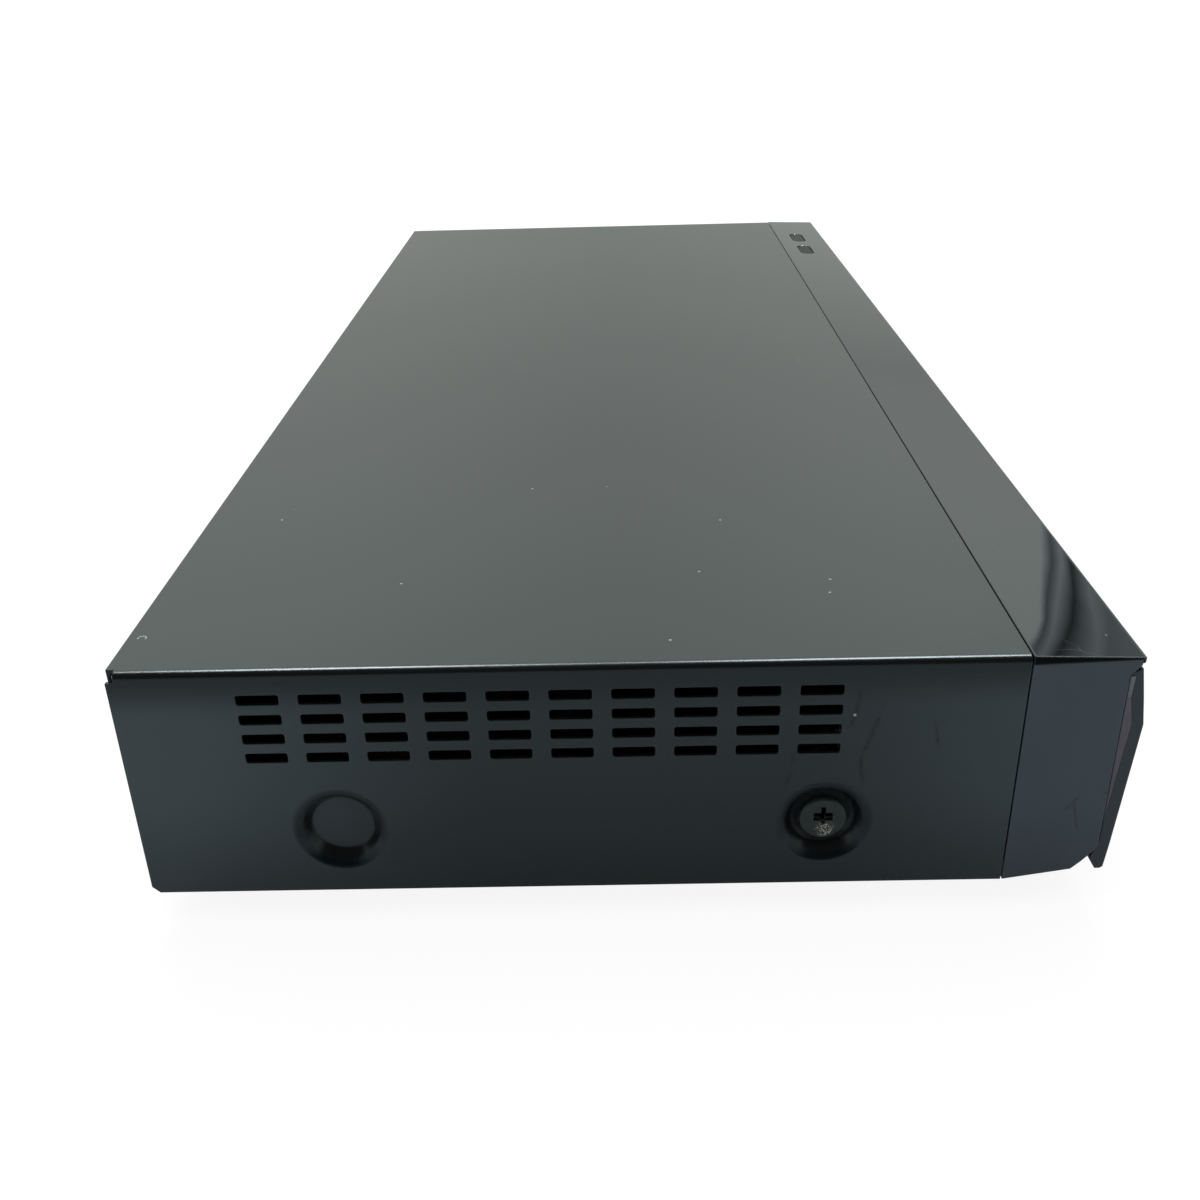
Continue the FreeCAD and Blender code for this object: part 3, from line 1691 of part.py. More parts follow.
def make_tray_gear():
    """The tray's gear on top of the wheel that the motor turns."""
    upper = spur_gear(tray_gear_teeth, rack_module, tray_gear_slack, gear_x, wheel_top - bury,
                      base + tray_low - slide_gap, 0)
    wheel = spur_gear(wheel_teeth, wheel_module, wheel_slack, gear_x, wheel_low, wheel_top,
                      180.0 / wheel_teeth)
    bore = rod_z(gear_axle_radius + running_fit, gear_x, gear_row_y, wheel_low - past, base + tray_low)
    return cut(fuse([upper, wheel]), [bore])


def make_motor_pinion():
    """Turned so that a tooth faces a gap of the wheel."""
    turn = 0.0 if (wheel_teeth // 2) % 2 == 0 else 180.0 / pinion_teeth
    gear = spur_gear(pinion_teeth, wheel_module, wheel_slack, pinion_x, wheel_low, wheel_top, turn)
    shaft = rod_z(motor_shaft_radius, pinion_x, gear_row_y, motor_top - motor_shaft_depth,
                  wheel_low + slide_gap)
    return fuse([gear, shaft])


def make_loading_motor():
    can = rod_z(motor_radius, pinion_x, gear_row_y, motor_low, motor_top)
    can = can.makeFillet(motor_edge, circle_edges(can))
    bore = rod_z(motor_shaft_radius + running_fit, pinion_x, gear_row_y,
                 motor_top - motor_shaft_depth - fit_gap, motor_top + past)
    return cut(can, [bore])


# Disc tray

def rack_outline():
    """Teeth that stand towards -X, in mesh with the tray's gear at rest."""
    pitch = math.pi * rack_module
    tip = rack_pitch_x - tooth_tip * rack_module
    root = rack_pitch_x + tooth_root * rack_module
    back = root + rack_back
    slope = math.tan(math.radians(pressure_angle))
    half_root = pitch / 4 - rack_slack + slope * tooth_root * rack_module
    half_tip = pitch / 4 - rack_slack - slope * tooth_tip * rack_module
    start = seam + rack_front
    end = tray_rear_y - rack_rear
    first = math.ceil((start + half_root - gear_row_y) / pitch - 0.5)
    last = math.floor((end - half_root - gear_row_y) / pitch - 0.5)
    outline = [(back, end), (back, start), (root, start)]
    for i in range(first, last + 1):
        middle = gear_row_y + (i + 0.5) * pitch
        outline += [(root, middle - half_root), (tip, middle - half_tip),
                    (tip, middle + half_tip), (root, middle + half_root)]
    outline.append((root, end))
    return outline


def make_disc_tray():
    half = tray_width / 2
    low = base + tray_low
    high = low + tray_t
    body = box(tray_centre_x - half, tray_centre_x + half, tray_front_y, tray_rear_y, low, high)
    flange = box(fascia_left + tray_flange_inset, fascia_right - tray_flange_inset, tray_front_y,
                 tray_front_y + tray_flange_t, base + tray_flange_low, base + wedge_high)
    recess = rod_z(disc_recess_radius, tray_centre_x, disc_y, recess_floor, high + past)
    small = rod_z(small_recess_radius, tray_centre_x, disc_y, recess_floor - small_recess_depth,
                  high + past)
    slot = box(tray_centre_x - tray_slot_half, tray_centre_x + tray_slot_half, disc_y - tray_slot_reach,
               tray_rear_y + past, low - past, high + past)
    front = [edge for edge in line_edges(slot, vec(0, 0, 1)) if edge.CenterOfMass.y < disc_y]
    slot = slot.makeFillet(tray_slot_corner, front)
    finger = box(tray_centre_x - finger_half, tray_centre_x + finger_half, tray_front_y + finger_front,
                 disc_y - disc_recess_radius + finger_overlap, recess_floor - finger_depth, high + past)
    body = cut(fuse([body, flange]), [recess, small, slot, finger])
    return fuse([body, prism_z(rack_outline(), rack_low, low + bury)])


# Loader housing

def loader_runners():
    """Ledges under the tray's two sides and short tabs over them."""
    parts = []
    front = seam - loader_front + tab_front
    ledge_top = base + tray_low - fit_gap
    tab_low = base + tray_low + tray_t + fit_gap
    for side in (-1, 1):
        edge = tray_centre_x + side * (loader_half - loader_wall + bury)
        inside = tray_centre_x + side * (tray_width / 2 - ledge_reach)
        parts.append(box(edge, inside, front, loader_rear_y - past, ledge_top - ledge_t, ledge_top))
        for y in (front, front + tab_pitch):
            parts.append(box(edge, inside, y, y + tab_length, tab_low, tab_low + ledge_t))
    return parts


def loader_posts():
    """The gear's post and axle, the traverse's pivot posts, and the posts that its front rests on."""
    low = base + loader_low
    parts = [rod_z(gear_post_radius, gear_x, gear_row_y, low + past, wheel_low - gear_post_gap),
             rod_z(gear_axle_radius, gear_x, gear_row_y, low + past, base + tray_low - gear_axle_gap)]
    rest_y = seam + traverse_front_y
    for side in (-1, 1):
        inner = tray_centre_x + side * (traverse_half + fit_gap)
        parts.append(box(inner, inner + side * pivot_post_t, pivot_y - pivot_post_half,
                         pivot_y + pivot_post_half,
                         low + past, pivot_z + pivot_post_half))
        x = tray_centre_x + side * (traverse_half - rest_post_inset)
        parts.append(rod_z(rest_post_radius, x, rest_y - rest_post_y, low + past,
                           base + traverse_low - fit_gap))
        parts.append(rod_z(rest_pad_radius, x, rest_y - rest_pad_y, low, low + loader_floor_t))
    return parts


def make_loader_base():
    x0 = tray_centre_x - loader_half
    x1 = tray_centre_x + loader_half
    y0 = seam - loader_front
    low = base + loader_low
    high = base + loader_top
    outer = box(x0, x1, y0, loader_rear_y, low, high)
    inner = box(x0 + loader_wall, x1 - loader_wall, y0 + loader_wall, loader_rear_y - loader_wall,
                low + loader_floor_t, high + past)
    window_half = traverse_half + floor_window_margin
    window = box(tray_centre_x - window_half, tray_centre_x + window_half,
                 seam + traverse_front_y - floor_window_front, pivot_y - floor_window_rear,
                 low - past, low + loader_floor_t + past)
    mouth_half = tray_width / 2 + slide_gap
    mouth = box(tray_centre_x - mouth_half, tray_centre_x + mouth_half, y0 - past, y0 + loader_wall + past,
                rack_low - slide_gap, high + past)
    body = fuse([cut(outer, [inner, window, mouth])] + loader_runners() + loader_posts())
    bore_half = traverse_half + pivot_post_t + past
    tools = [rod_x(traverse_pin_radius + running_fit, tray_centre_x - bore_half, tray_centre_x + bore_half,
                   pivot_y, pivot_z)]
    for x, y in loader_spots():
        tools.append(rod_z(board_screw_shank + slide_gap, x, y, low - past, low + loader_floor_t + past))
    return cut(body, tools)


def make_loader_cover():
    half = loader_half + fit_gap + loader_cover_sheet
    y0 = seam - loader_front
    low = base + loader_top
    high = low + loader_cover_sheet
    parts = [box(tray_centre_x - half, tray_centre_x + half, y0, loader_rear_y, low, high)]
    for side in (-1, 1):
        outer = tray_centre_x + side * half
        parts.append(box(outer, outer - side * loader_cover_sheet, y0 + loader_cover_inset,
                         loader_rear_y - loader_cover_inset, low - loader_cover_skirt, high))
    hole = rod_z(clamp_radius + clamp_gap, tray_centre_x, disc_y, low - past, high + past)
    return cut(fuse(parts), [hole])


def make_disc_clamp():
    """A puck that hangs through the loader's cover on its flange."""
    low = base + clamp_low
    flange_low = base + loader_top + loader_cover_sheet + fit_gap
    flange_top = flange_low + clamp_flange_t
    parts = [rod_z(clamp_radius, tray_centre_x, disc_y, low, flange_low + bury),
             rod_z(clamp_flange, tray_centre_x, disc_y, flange_low, flange_top),
             Part.makeCone(clamp_cap_radius, clamp_cap_radius - clamp_cap_taper, clamp_cap_t,
                           vec(tray_centre_x, disc_y, flange_top), vec(0, 0, 1))]
    recess = rod_z(hub_radius + clamp_recess_gap, tray_centre_x, disc_y, low - past,
                   low + clamp_recess_depth)
    return cut(fuse(parts), [recess])


# Traverse

def rod_places():
    return [tray_centre_x - rod_offset, tray_centre_x + rod_offset]


def guide_rod(x, radius):
    return rod_y(radius, x, seam + rod_front_y + rod_seat, seam + rod_rear_y - rod_seat, base + rod_height)


def make_guide_rods():
    return [guide_rod(x, rod_radius) for x in rod_places()]


def make_traverse_plate():
    y1 = pivot_y + traverse_pin_radius
    plate = box(tray_centre_x - traverse_half, tray_centre_x + traverse_half, seam + traverse_front_y, y1,
                base + traverse_low, plate_top)
    window_half = sled_half + sled_window_gap
    sled_y = seam + sled_front_y
    window = box(tray_centre_x - window_half, tray_centre_x + window_half, sled_y - past,
                 sled_y + sled_length + sled_travel + past, base, plate_top + past)
    parts = [cut(plate, [window])]
    for x in rod_places():
        for y in (seam + rod_front_y, seam + rod_rear_y - rod_block):
            parts.append(box(x - rod_block_half, x + rod_block_half, y, y + rod_block, plate_top - bury,
                             base + rod_height + rod_block_above))
    pin_half = traverse_half + traverse_pin_reach
    parts.append(rod_x(traverse_pin_radius, tray_centre_x - pin_half, tray_centre_x + pin_half, pivot_y,
                       pivot_z))
    parts.append(box(lead_x - lead_block_half, lead_x + lead_block_half, lead_block_y - lead_block_t,
                     lead_block_y,
                     plate_top - bury, lead_z + lead_block_above))
    tools = [guide_rod(x, rod_radius) for x in rod_places()]
    tools.append(rod_y(lead_radius + running_fit, lead_x, lead_block_y - lead_seat - bury,
                       lead_block_y + past,
                       lead_z))
    return cut(fuse(parts), tools)


def make_spindle_motor():
    can = rod_z(spindle_radius, tray_centre_x, disc_y, plate_top, plate_top + spindle_height)
    upper = [edge for edge in circle_edges(can) if edge.CenterOfMass.z > plate_top + spindle_height / 2]
    foot = box(tray_centre_x - spindle_base_half, tray_centre_x + spindle_base_half,
               disc_y - spindle_base_half, disc_y + spindle_base_rear, plate_top,
               plate_top + spindle_base_t)
    bore = rod_z(spindle_shaft_radius + running_fit, tray_centre_x, disc_y,
                 plate_top + spindle_shaft_seat - fit_gap, plate_top + spindle_height + past)
    return cut(fuse([can.makeFillet(spindle_edge, upper), foot]), [bore])


def make_turntable():
    support = base + tray_low - turntable_drop
    plate = rod_z(turntable_radius, tray_centre_x, disc_y, turntable_low, support)
    plate = plate.makeFillet(turntable_edge, circle_edges(plate))
    hub = Part.makeCone(hub_radius, hub_radius - hub_taper, hub_height + bury,
                        vec(tray_centre_x, disc_y, support - bury), vec(0, 0, 1))
    axle = rod_z(spindle_shaft_radius, tray_centre_x, disc_y, plate_top + spindle_shaft_seat,
                 turntable_low + slide_gap)
    return fuse([plate, hub, axle])


def make_lead_screw():
    y0 = lead_block_y - lead_seat
    y1 = sled_motor_y + lead_journal
    parts = [rod_y(lead_radius, lead_x, y0, y0 + lead_journal, lead_z),
             rod_y(lead_core_radius, lead_x, y0 + lead_journal - bury, y1, lead_z)]
    first = y0 + lead_journal + lead_ring_half * 2
    count = int((sled_motor_y - past - first) / lead_ring_pitch)
    for i in range(count):
        parts += ring_y(lead_core_radius, lead_radius, lead_ring_half, lead_x, first + i * lead_ring_pitch,
                        lead_z)
    return fuse(parts)


def make_sled_motor():
    radius = lead_z - plate_top
    rear_y = pivot_y - sled_motor_rear
    can = rod_y(radius, lead_x, sled_motor_y, rear_y, lead_z)
    foot = box(lead_x - radius - past, lead_x + radius + past, sled_motor_y + past, rear_y - past,
               plate_top, plate_top + sled_motor_foot)
    bore = rod_y(lead_core_radius + running_fit, lead_x, sled_motor_y - past,
                 sled_motor_y + lead_journal + fit_gap, lead_z)
    return cut(fuse([can, foot]), [bore])


def make_pickup_sled():
    """Body, two ears on the guide rods, a nut round the lead screw and the lens tower."""
    y0 = seam + sled_front_y
    y1 = y0 + sled_length
    high = base + rod_height + sled_above
    body = box(tray_centre_x - sled_half, tray_centre_x + sled_half, y0, y1,
               base + traverse_low - sled_drop, high)
    parts = [body.makeFillet(sled_corner, line_edges(body, vec(0, 0, 1)))]
    reach = rod_offset + sled_ear_reach
    low = plate_top + slide_gap
    for y in (y0 + past, y1 - past - sled_ear_length):
        parts.append(box(tray_centre_x - reach, tray_centre_x + reach, y, y + sled_ear_length, low,
                         base + rod_height + sled_ear_above))
    nut_y = y1 - past - sled_ear_length
    parts.append(box(tray_centre_x, lead_x + nut_half, nut_y, nut_y + nut_length, low, lead_z + nut_above))
    parts.append(box(tray_centre_x - lens_tower_half, tray_centre_x + lens_tower_half, y0 + slide_gap,
                     y0 + slide_gap + lens_tower_length, high - bury, high + lens_tower_above))
    tools = [rod_y(rod_radius + running_fit, x, y0 - past, y1 + past,
                   base + rod_height) for x in rod_places()]
    tools.append(rod_y(lead_radius + running_fit, lead_x, y0, y1 + past, lead_z))
    tools.append(rod_z(lens_radius, tray_centre_x, lens_y, base + rod_height + lens_low,
                       high + lens_tower_above + past))
    return cut(fuse(parts), tools)


def make_pickup_lens():
    high = base + rod_height + lens_high
    body = rod_z(lens_radius, tray_centre_x, lens_y, base + rod_height + lens_low, high)
    crown = Part.makeSphere(lens_curve, vec(tray_centre_x, lens_y, high + lens_crown - lens_curve))
    column = rod_z(lens_radius - lens_land, tray_centre_x, lens_y, high - lens_crown, high + past)
    return fuse([body, crown.common(column)])


# Fasteners

def screw(place, outward, head, head_t, shank, length):
    """A screw with a cross recess. Its head sits on the place and its shank runs the other way."""
    body = Part.makeCylinder(head, head_t, place, outward)
    rim = [edge for edge in circle_edges(body) if edge.CenterOfMass.sub(place).dot(outward) > head_t / 2]
    body = body.makeFillet(min(screw_edge, head_t * screw_edge_share), rim)
    body = fuse([body, Part.makeCylinder(shank, length, place, outward * -1)])
    arm = head * cross_arm_share
    half = head * cross_width_share / 2
    depth = head_t * cross_depth_share
    cross = fuse([box(-arm, arm, -half, half, 0, depth + past),
                  box(-half, half, -arm, arm, 0, depth + past)])
    cross.Placement = FreeCAD.Placement(place.add(outward * (head_t - depth)),
                                        FreeCAD.Rotation(vec(0, 0, 1), outward))
    return cut(body, [cross])


def make_cover_screws():
    screws = []
    for side in (-1, 1):
        seat = dimple_place(dimple_front_y, side).add(vec(-side * dimple_depth, 0, 0))
        screws.append(screw(seat, vec(side, 0, 0), cover_screw_head, cover_screw_head_t, cover_screw_shank,
                            cover_screw_length))
    for x, z in rear_screw_places():
        screws.append(screw(vec(x, rear, z), vec(0, 1, 0), rear_screw_head, rear_screw_head_t,
                            rear_screw_shank,
                            rear_screw_length))
    return screws


def make_frame_screws():
    spots = [(x, y, board_surface, board_screw_length) for x, y in main_board_spots() + power_board_spots()]
    spots += [(x, y, io_surface, board_screw_length) for x, y in io_board_spots()]
    spots += [(x, y, base + loader_low + loader_floor_t, loader_screw_length) for x, y in loader_spots()]
    screws = []
    for x, y, z, length in spots:
        screws.append(screw(vec(x, y, z), vec(0, 0, 1), board_screw_head, board_screw_head_t,
                            board_screw_shank,
                            length))
    for x, y in foot_places():
        screws.append(screw(vec(x, y, floor_low - foot_web), vec(0, 0, -1), rear_screw_head,
                            rear_screw_head_t,
                            foot_screw_shank, foot_screw_length))
    return screws


# Cables held inside

def make_ribbon_cable():
    """A flat cable on the floor, from under the small front board to under the main board."""
    x0 = io_right - ribbon_left_inset
    x1 = main_left + ribbon_right_inset
    low = floor_top + fit_gap
    left_top = base + io_board_low
    right_top = base + board_low
    path = [(x0, left_top), (x0, low), (x1 + ribbon_t, low), (x1 + ribbon_t, right_top), (x1, right_top),
            (x1, low + ribbon_t), (x0 + ribbon_t, low + ribbon_t), (x0 + ribbon_t, left_top)]
    y0 = seam + ribbon_front
    return prism_y(path, y0, y0 + ribbon_width)


def tube(points, radius, bend):
    """Straight runs joined by tangent arcs."""
    edges = []
    start = points[0]
    for i in range(1, len(points) - 1):
        before = points[i].sub(points[i - 1]).normalize()
        after = points[i + 1].sub(points[i]).normalize()
        turn = before.getAngle(after)
        reach = bend * math.tan(turn / 2)
        first = points[i].sub(before * reach)
        last = points[i].add(after * reach)
        inward = after.sub(before).normalize()
        centre = points[i].add(inward * (bend / math.cos(turn / 2)))
        middle = centre.sub(inward * bend)
        edges.append(Part.LineSegment(start, first).toShape())
        edges.append(Part.Arc(first, middle, last).toShape())
        start = last
    edges.append(Part.LineSegment(start, points[-1]).toShape())
    profile = Part.Wire([Part.makeCircle(radius, points[0], points[1].sub(points[0]))])
    return Part.Wire(edges).makePipeShell([profile], True, False)


def make_power_cable():
    """From the power board, over behind the loader, down to the main board."""
    x0 = power_right - cable_left_inset
    x1 = main_left + cable_right_inset
    y0 = power_rear_y - cable_left_back
    behind = loader_rear_y + cable_behind
    high = board_surface + cable_high
    points = [vec(x0, y0, board_surface), vec(x0, y0, high), vec(x0 + cable_left_run, behind, high),
              vec(x1 - cable_right_run, behind, high), vec(x1, behind - cable_right_back, high),
              vec(x1, behind - cable_right_back, board_surface)]
    return tube(points, cable_radius, cable_bend)


def main():
    os.makedirs("parts", exist_ok=True)
    export("top_cover", make_top_cover())
    export("bottom_chassis", make_bottom_chassis())
    export("rear_panel", make_rear_panel())
    export("feet", make_feet())
    export("cover_screws", make_cover_screws())
    export("frame_screws", make_frame_screws())
    export("front_frame", make_front_frame())
    export("front_top_trim", make_front_top_trim())
    export("door_skin", make_door_skin())
    export("door_liner", prism_x(liner_section(), door_left, door_right))
    export("door_catches", make_door_catches())
    export("door_hinge_pins", make_door_hinge_pins())
    export("tray_fascia", prism_x(skin_section(), fascia_left, fascia_right))
    export("fascia_liner", band_liner(fascia_left, fascia_right))
    export("display_window", prism_x(skin_section(), window_left, window_right))
    export("window_liner", make_window_liner())
    export("display_tube", make_display_tube())
    export("display_board", make_display_board())
    export("power_button", make_key(key_places()[0]))
    export("eject_button", make_key(key_places()[1]))
    export("tact_switches", make_tact_switches())
    export("button_board", make_button_board())
    export("io_board", make_io_board())
    export("memory_card_socket", make_memory_card_socket())
    export("smart_card_socket", make_smart_card_socket())
    export("usb_sockets", make_usb_sockets())
    export("main_board", make_main_board())
    export("main_chips", make_main_chips())
    export("heat_sink", make_heat_sink())
    export("hdmi_socket", make_hdmi_socket())
    export("lan_socket", make_lan_socket())
    export("av_jacks", make_av_jacks())
    export("tuner_box", make_tuner_box())
    export("antenna_connectors", make_antenna_connectors())
    export("power_board", make_power_board())
    export("transformer", make_transformer())
    export("power_capacitors", make_power_capacitors())
    export("power_heat_plates", make_power_heat_plates())
    export("ac_inlet", make_ac_inlet())
    export("hard_drive", make_hard_drive())
    export("drive_bracket", make_drive_bracket())
    export("fan_frame", make_fan_frame())
    export("fan_rotor", make_fan_rotor())
    export("loader_base", make_loader_base())
    export("loader_cover", make_loader_cover())
    export("loading_motor", make_loading_motor())
    export("motor_pinion", make_motor_pinion())
    export("tray_gear", make_tray_gear())
    export("disc_tray", make_disc_tray())
    export("disc_clamp", make_disc_clamp())
    export("traverse_plate", make_traverse_plate())
    export("guide_rods", make_guide_rods())
    export("spindle_motor", make_spindle_motor())
    export("turntable", make_turntable())
    export("lead_screw", make_lead_screw())
    export("sled_motor", make_sled_motor())
    export("pickup_sled", make_pickup_sled())
    export("pickup_lens", make_pickup_lens())
    export("ribbon_cable", make_ribbon_cable())
    export("power_cable", make_power_cable())


main()
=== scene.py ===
import bmesh
import bpy
import math
import random
from mathutils import Matrix, Vector
from mathutils.bvhtree import BVHTree


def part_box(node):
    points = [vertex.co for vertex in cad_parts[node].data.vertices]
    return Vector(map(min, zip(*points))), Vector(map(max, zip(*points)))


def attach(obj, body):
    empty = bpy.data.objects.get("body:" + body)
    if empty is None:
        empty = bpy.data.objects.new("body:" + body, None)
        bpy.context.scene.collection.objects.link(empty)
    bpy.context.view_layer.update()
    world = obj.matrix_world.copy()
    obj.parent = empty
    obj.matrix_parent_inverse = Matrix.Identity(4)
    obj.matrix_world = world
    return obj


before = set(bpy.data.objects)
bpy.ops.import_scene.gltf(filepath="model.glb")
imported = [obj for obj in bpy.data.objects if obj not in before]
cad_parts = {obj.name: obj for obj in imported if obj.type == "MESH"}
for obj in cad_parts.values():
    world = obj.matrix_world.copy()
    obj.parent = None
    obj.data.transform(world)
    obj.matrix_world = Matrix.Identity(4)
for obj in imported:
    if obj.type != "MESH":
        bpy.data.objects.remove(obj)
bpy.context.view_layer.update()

# Places that the looks need, in metres in the row frame
TOP_Z = 0.059
HALF_WIDTH = 0.215
DIMPLE_Z = 0.0224
FRONT_DIMPLE_Y = -0.04175
REAR_DIMPLE_Y = 0.05395
DIMPLE_REACH = 0.0115

# Marks, each through three places given as (y, z), and single specks
CHEEK_MARKS = [((-0.0888, 0.02395), (-0.08993, 0.02561), (-0.09125, 0.02725)),
               ((-0.09042, 0.02632), (-0.0911, 0.02293), (-0.09203, 0.01926))]
SIDE_MARKS = [((-0.04702, 0.05257), (-0.04654, 0.04863), (-0.04552, 0.0442)),
              ((-0.05156, 0.04919), (-0.05026, 0.0441), (-0.04838, 0.03846)),
              ((-0.04838, 0.03846), (-0.0482, 0.03546), (-0.04863, 0.03218)),
              ((-0.03551, 0.03942), (-0.03456, 0.03482), (-0.03394, 0.03132)),
              ((-0.0615, 0.0452), (-0.06195, 0.04249), (-0.06255, 0.04021))]
SIDE_MARK_WIDTH = 0.00065
SIDE_SPECK = (-0.04627, 0.04709)
FIBRE = (-0.2010, 0.0915)
DUST_SPOTS = [(-0.127, 0.01875), (-0.179, 0.04375), (-0.176, -0.01925), (-0.187, -0.04525),
              (-0.181, -0.04625), (-0.1434, 0.0772), (-0.2059, -0.0118), (-0.1488, -0.0259)]

EDGE_RADIUS = 0.0003

# The room that gloss mirrors: two pairs of height and brightness, and the level away from its middle
ROOM_LOW, ROOM_HIGH = (0.27, 0.69), (0.52, 1.9)
ROOM_LIT = 1.05

# The camera, found from the photographed box's corners
CAMERA_PLACE = (-0.41727, -0.00217, 0.17545)
CAMERA_AZIMUTH, CAMERA_ELEVATION, CAMERA_ROLL = (math.radians(a) for a in (-89.026, 26.969, -1.573))
SENSOR_MM, LENS_MM = 36.0, 37.784
PHOTO_SIZE = 1200

# What the strip's near end mirrors in the photograph: lines given as the pixels at which rows
# of these heights cross them, and the shade at each line after the first. The strip falls to the front
STRIPE_MARKS = {
    515: (1041, 1048, 1058, 1068, 1085, 1100, 1120, 1160),
    560: (1042, 1052, 1062, 1071, 1086, 1102, 1120, 1160),
    596: (1040, 1047, 1058, 1074, 1090, 1108, 1124, 1160),
    620: (1040, 1046, 1054, 1072, 1096, 1110, 1124, 1160),
    636: (1034, 1041, 1051, 1067, 1098, 1110, 1124, 1160),
    650: (1019, 1033, 1045, 1059, 1097, 1110, 1124, 1160),
    672: (995, 1018, 1034, 1047, 1096, 1110, 1124, 1160),
}
STRIPE_SHADES = (0.32, 1.0, 0.08, 0.9, 0.58, 0.68, 0.7)
STRIP_SLOPE = 0.0317
STRIP_END = Vector((-0.2, -0.09, TOP_Z))
CARD_DISTANCE = 1.0

random.seed(7)


def add_object(name, data):
    made = bpy.data.objects.new(name, data)
    bpy.context.scene.collection.objects.link(made)
    return made


# Material helpers

class Tree:
    """A node tree with short calls for its nodes."""

    def __init__(self, owner):
        owner.use_nodes = True
        self.tree = owner.node_tree

    def node(self, kind, **values):
        made = self.tree.nodes.new(kind)
        for key, value in values.items():
            setattr(made, key, value)
        return made

    def feed(self, socket, value):
        if isinstance(value, bpy.types.NodeSocket):
            self.tree.links.new(value, socket)
        elif isinstance(value, tuple) and len(value) == 3 and socket.type == "RGBA":
            socket.default_value = value + (1.0,)
        else:
            socket.default_value = value

    def wired(self, kind, values, **settings):
        """A node whose first inputs are fed in order."""
        made = self.node(kind, **settings)
        for socket, value in zip(made.inputs, values):
            self.feed(socket, value)
        return made

    def calc(self, operation, a, b=0.0):
        return self.wired("ShaderNodeMath", (a, b), operation=operation).outputs["Value"]

    def vectors(self, operation, *values):
        return self.wired("ShaderNodeVectorMath", values, operation=operation).outputs

    def times(self, a, b):
        return self.calc("MULTIPLY", a, b)

    def plus(self, a, b):
        return self.calc("ADD", a, b)

    def minus(self, a, b):
        return self.calc("SUBTRACT", a, b)

    def larger(self, a, b):
        return self.calc("MAXIMUM", a, b)

    def unsigned(self, a):
        return self.calc("ABSOLUTE", a)

    def blend(self, share, a, b):
        made = self.node("ShaderNodeMix", data_type="RGBA")
        for socket, value in zip((made.inputs["Factor"], made.inputs[6], made.inputs[7]), (share, a, b)):
            self.feed(socket, value)
        return made.outputs[2]

    def mix(self, share, a, b):
        made = self.node("ShaderNodeMix", data_type="FLOAT")
        for socket, value in zip((made.inputs["Factor"], made.inputs[2], made.inputs[3]), (share, a, b)):
            self.feed(socket, value)
        return made.outputs[0]

    def ramp(self, value, low, high, to_low=0.0, to_high=1.0, shape="LINEAR"):
        values = (value, low, high, to_low, to_high)
        return self.wired("ShaderNodeMapRange", values, interpolation_type=shape).outputs["Result"]

    def span(self, value, low, high, to_low=0.0, to_high=1.0):
        return self.ramp(value, low, high, to_low, to_high, "SMOOTHSTEP")

    def fall(self, value, low, high):
        """1 below the low value, 0 above the high one."""
        return self.span(value, low, high, 1.0, 0.0)

    def rays(self, *names):
        """1 for the kinds of ray that are named, 0 for the others."""
        path = self.node("ShaderNodeLightPath")
        total = path.outputs[names[0]]
        for name in names[1:]:
            total = self.larger(total, path.outputs[name])
        return total


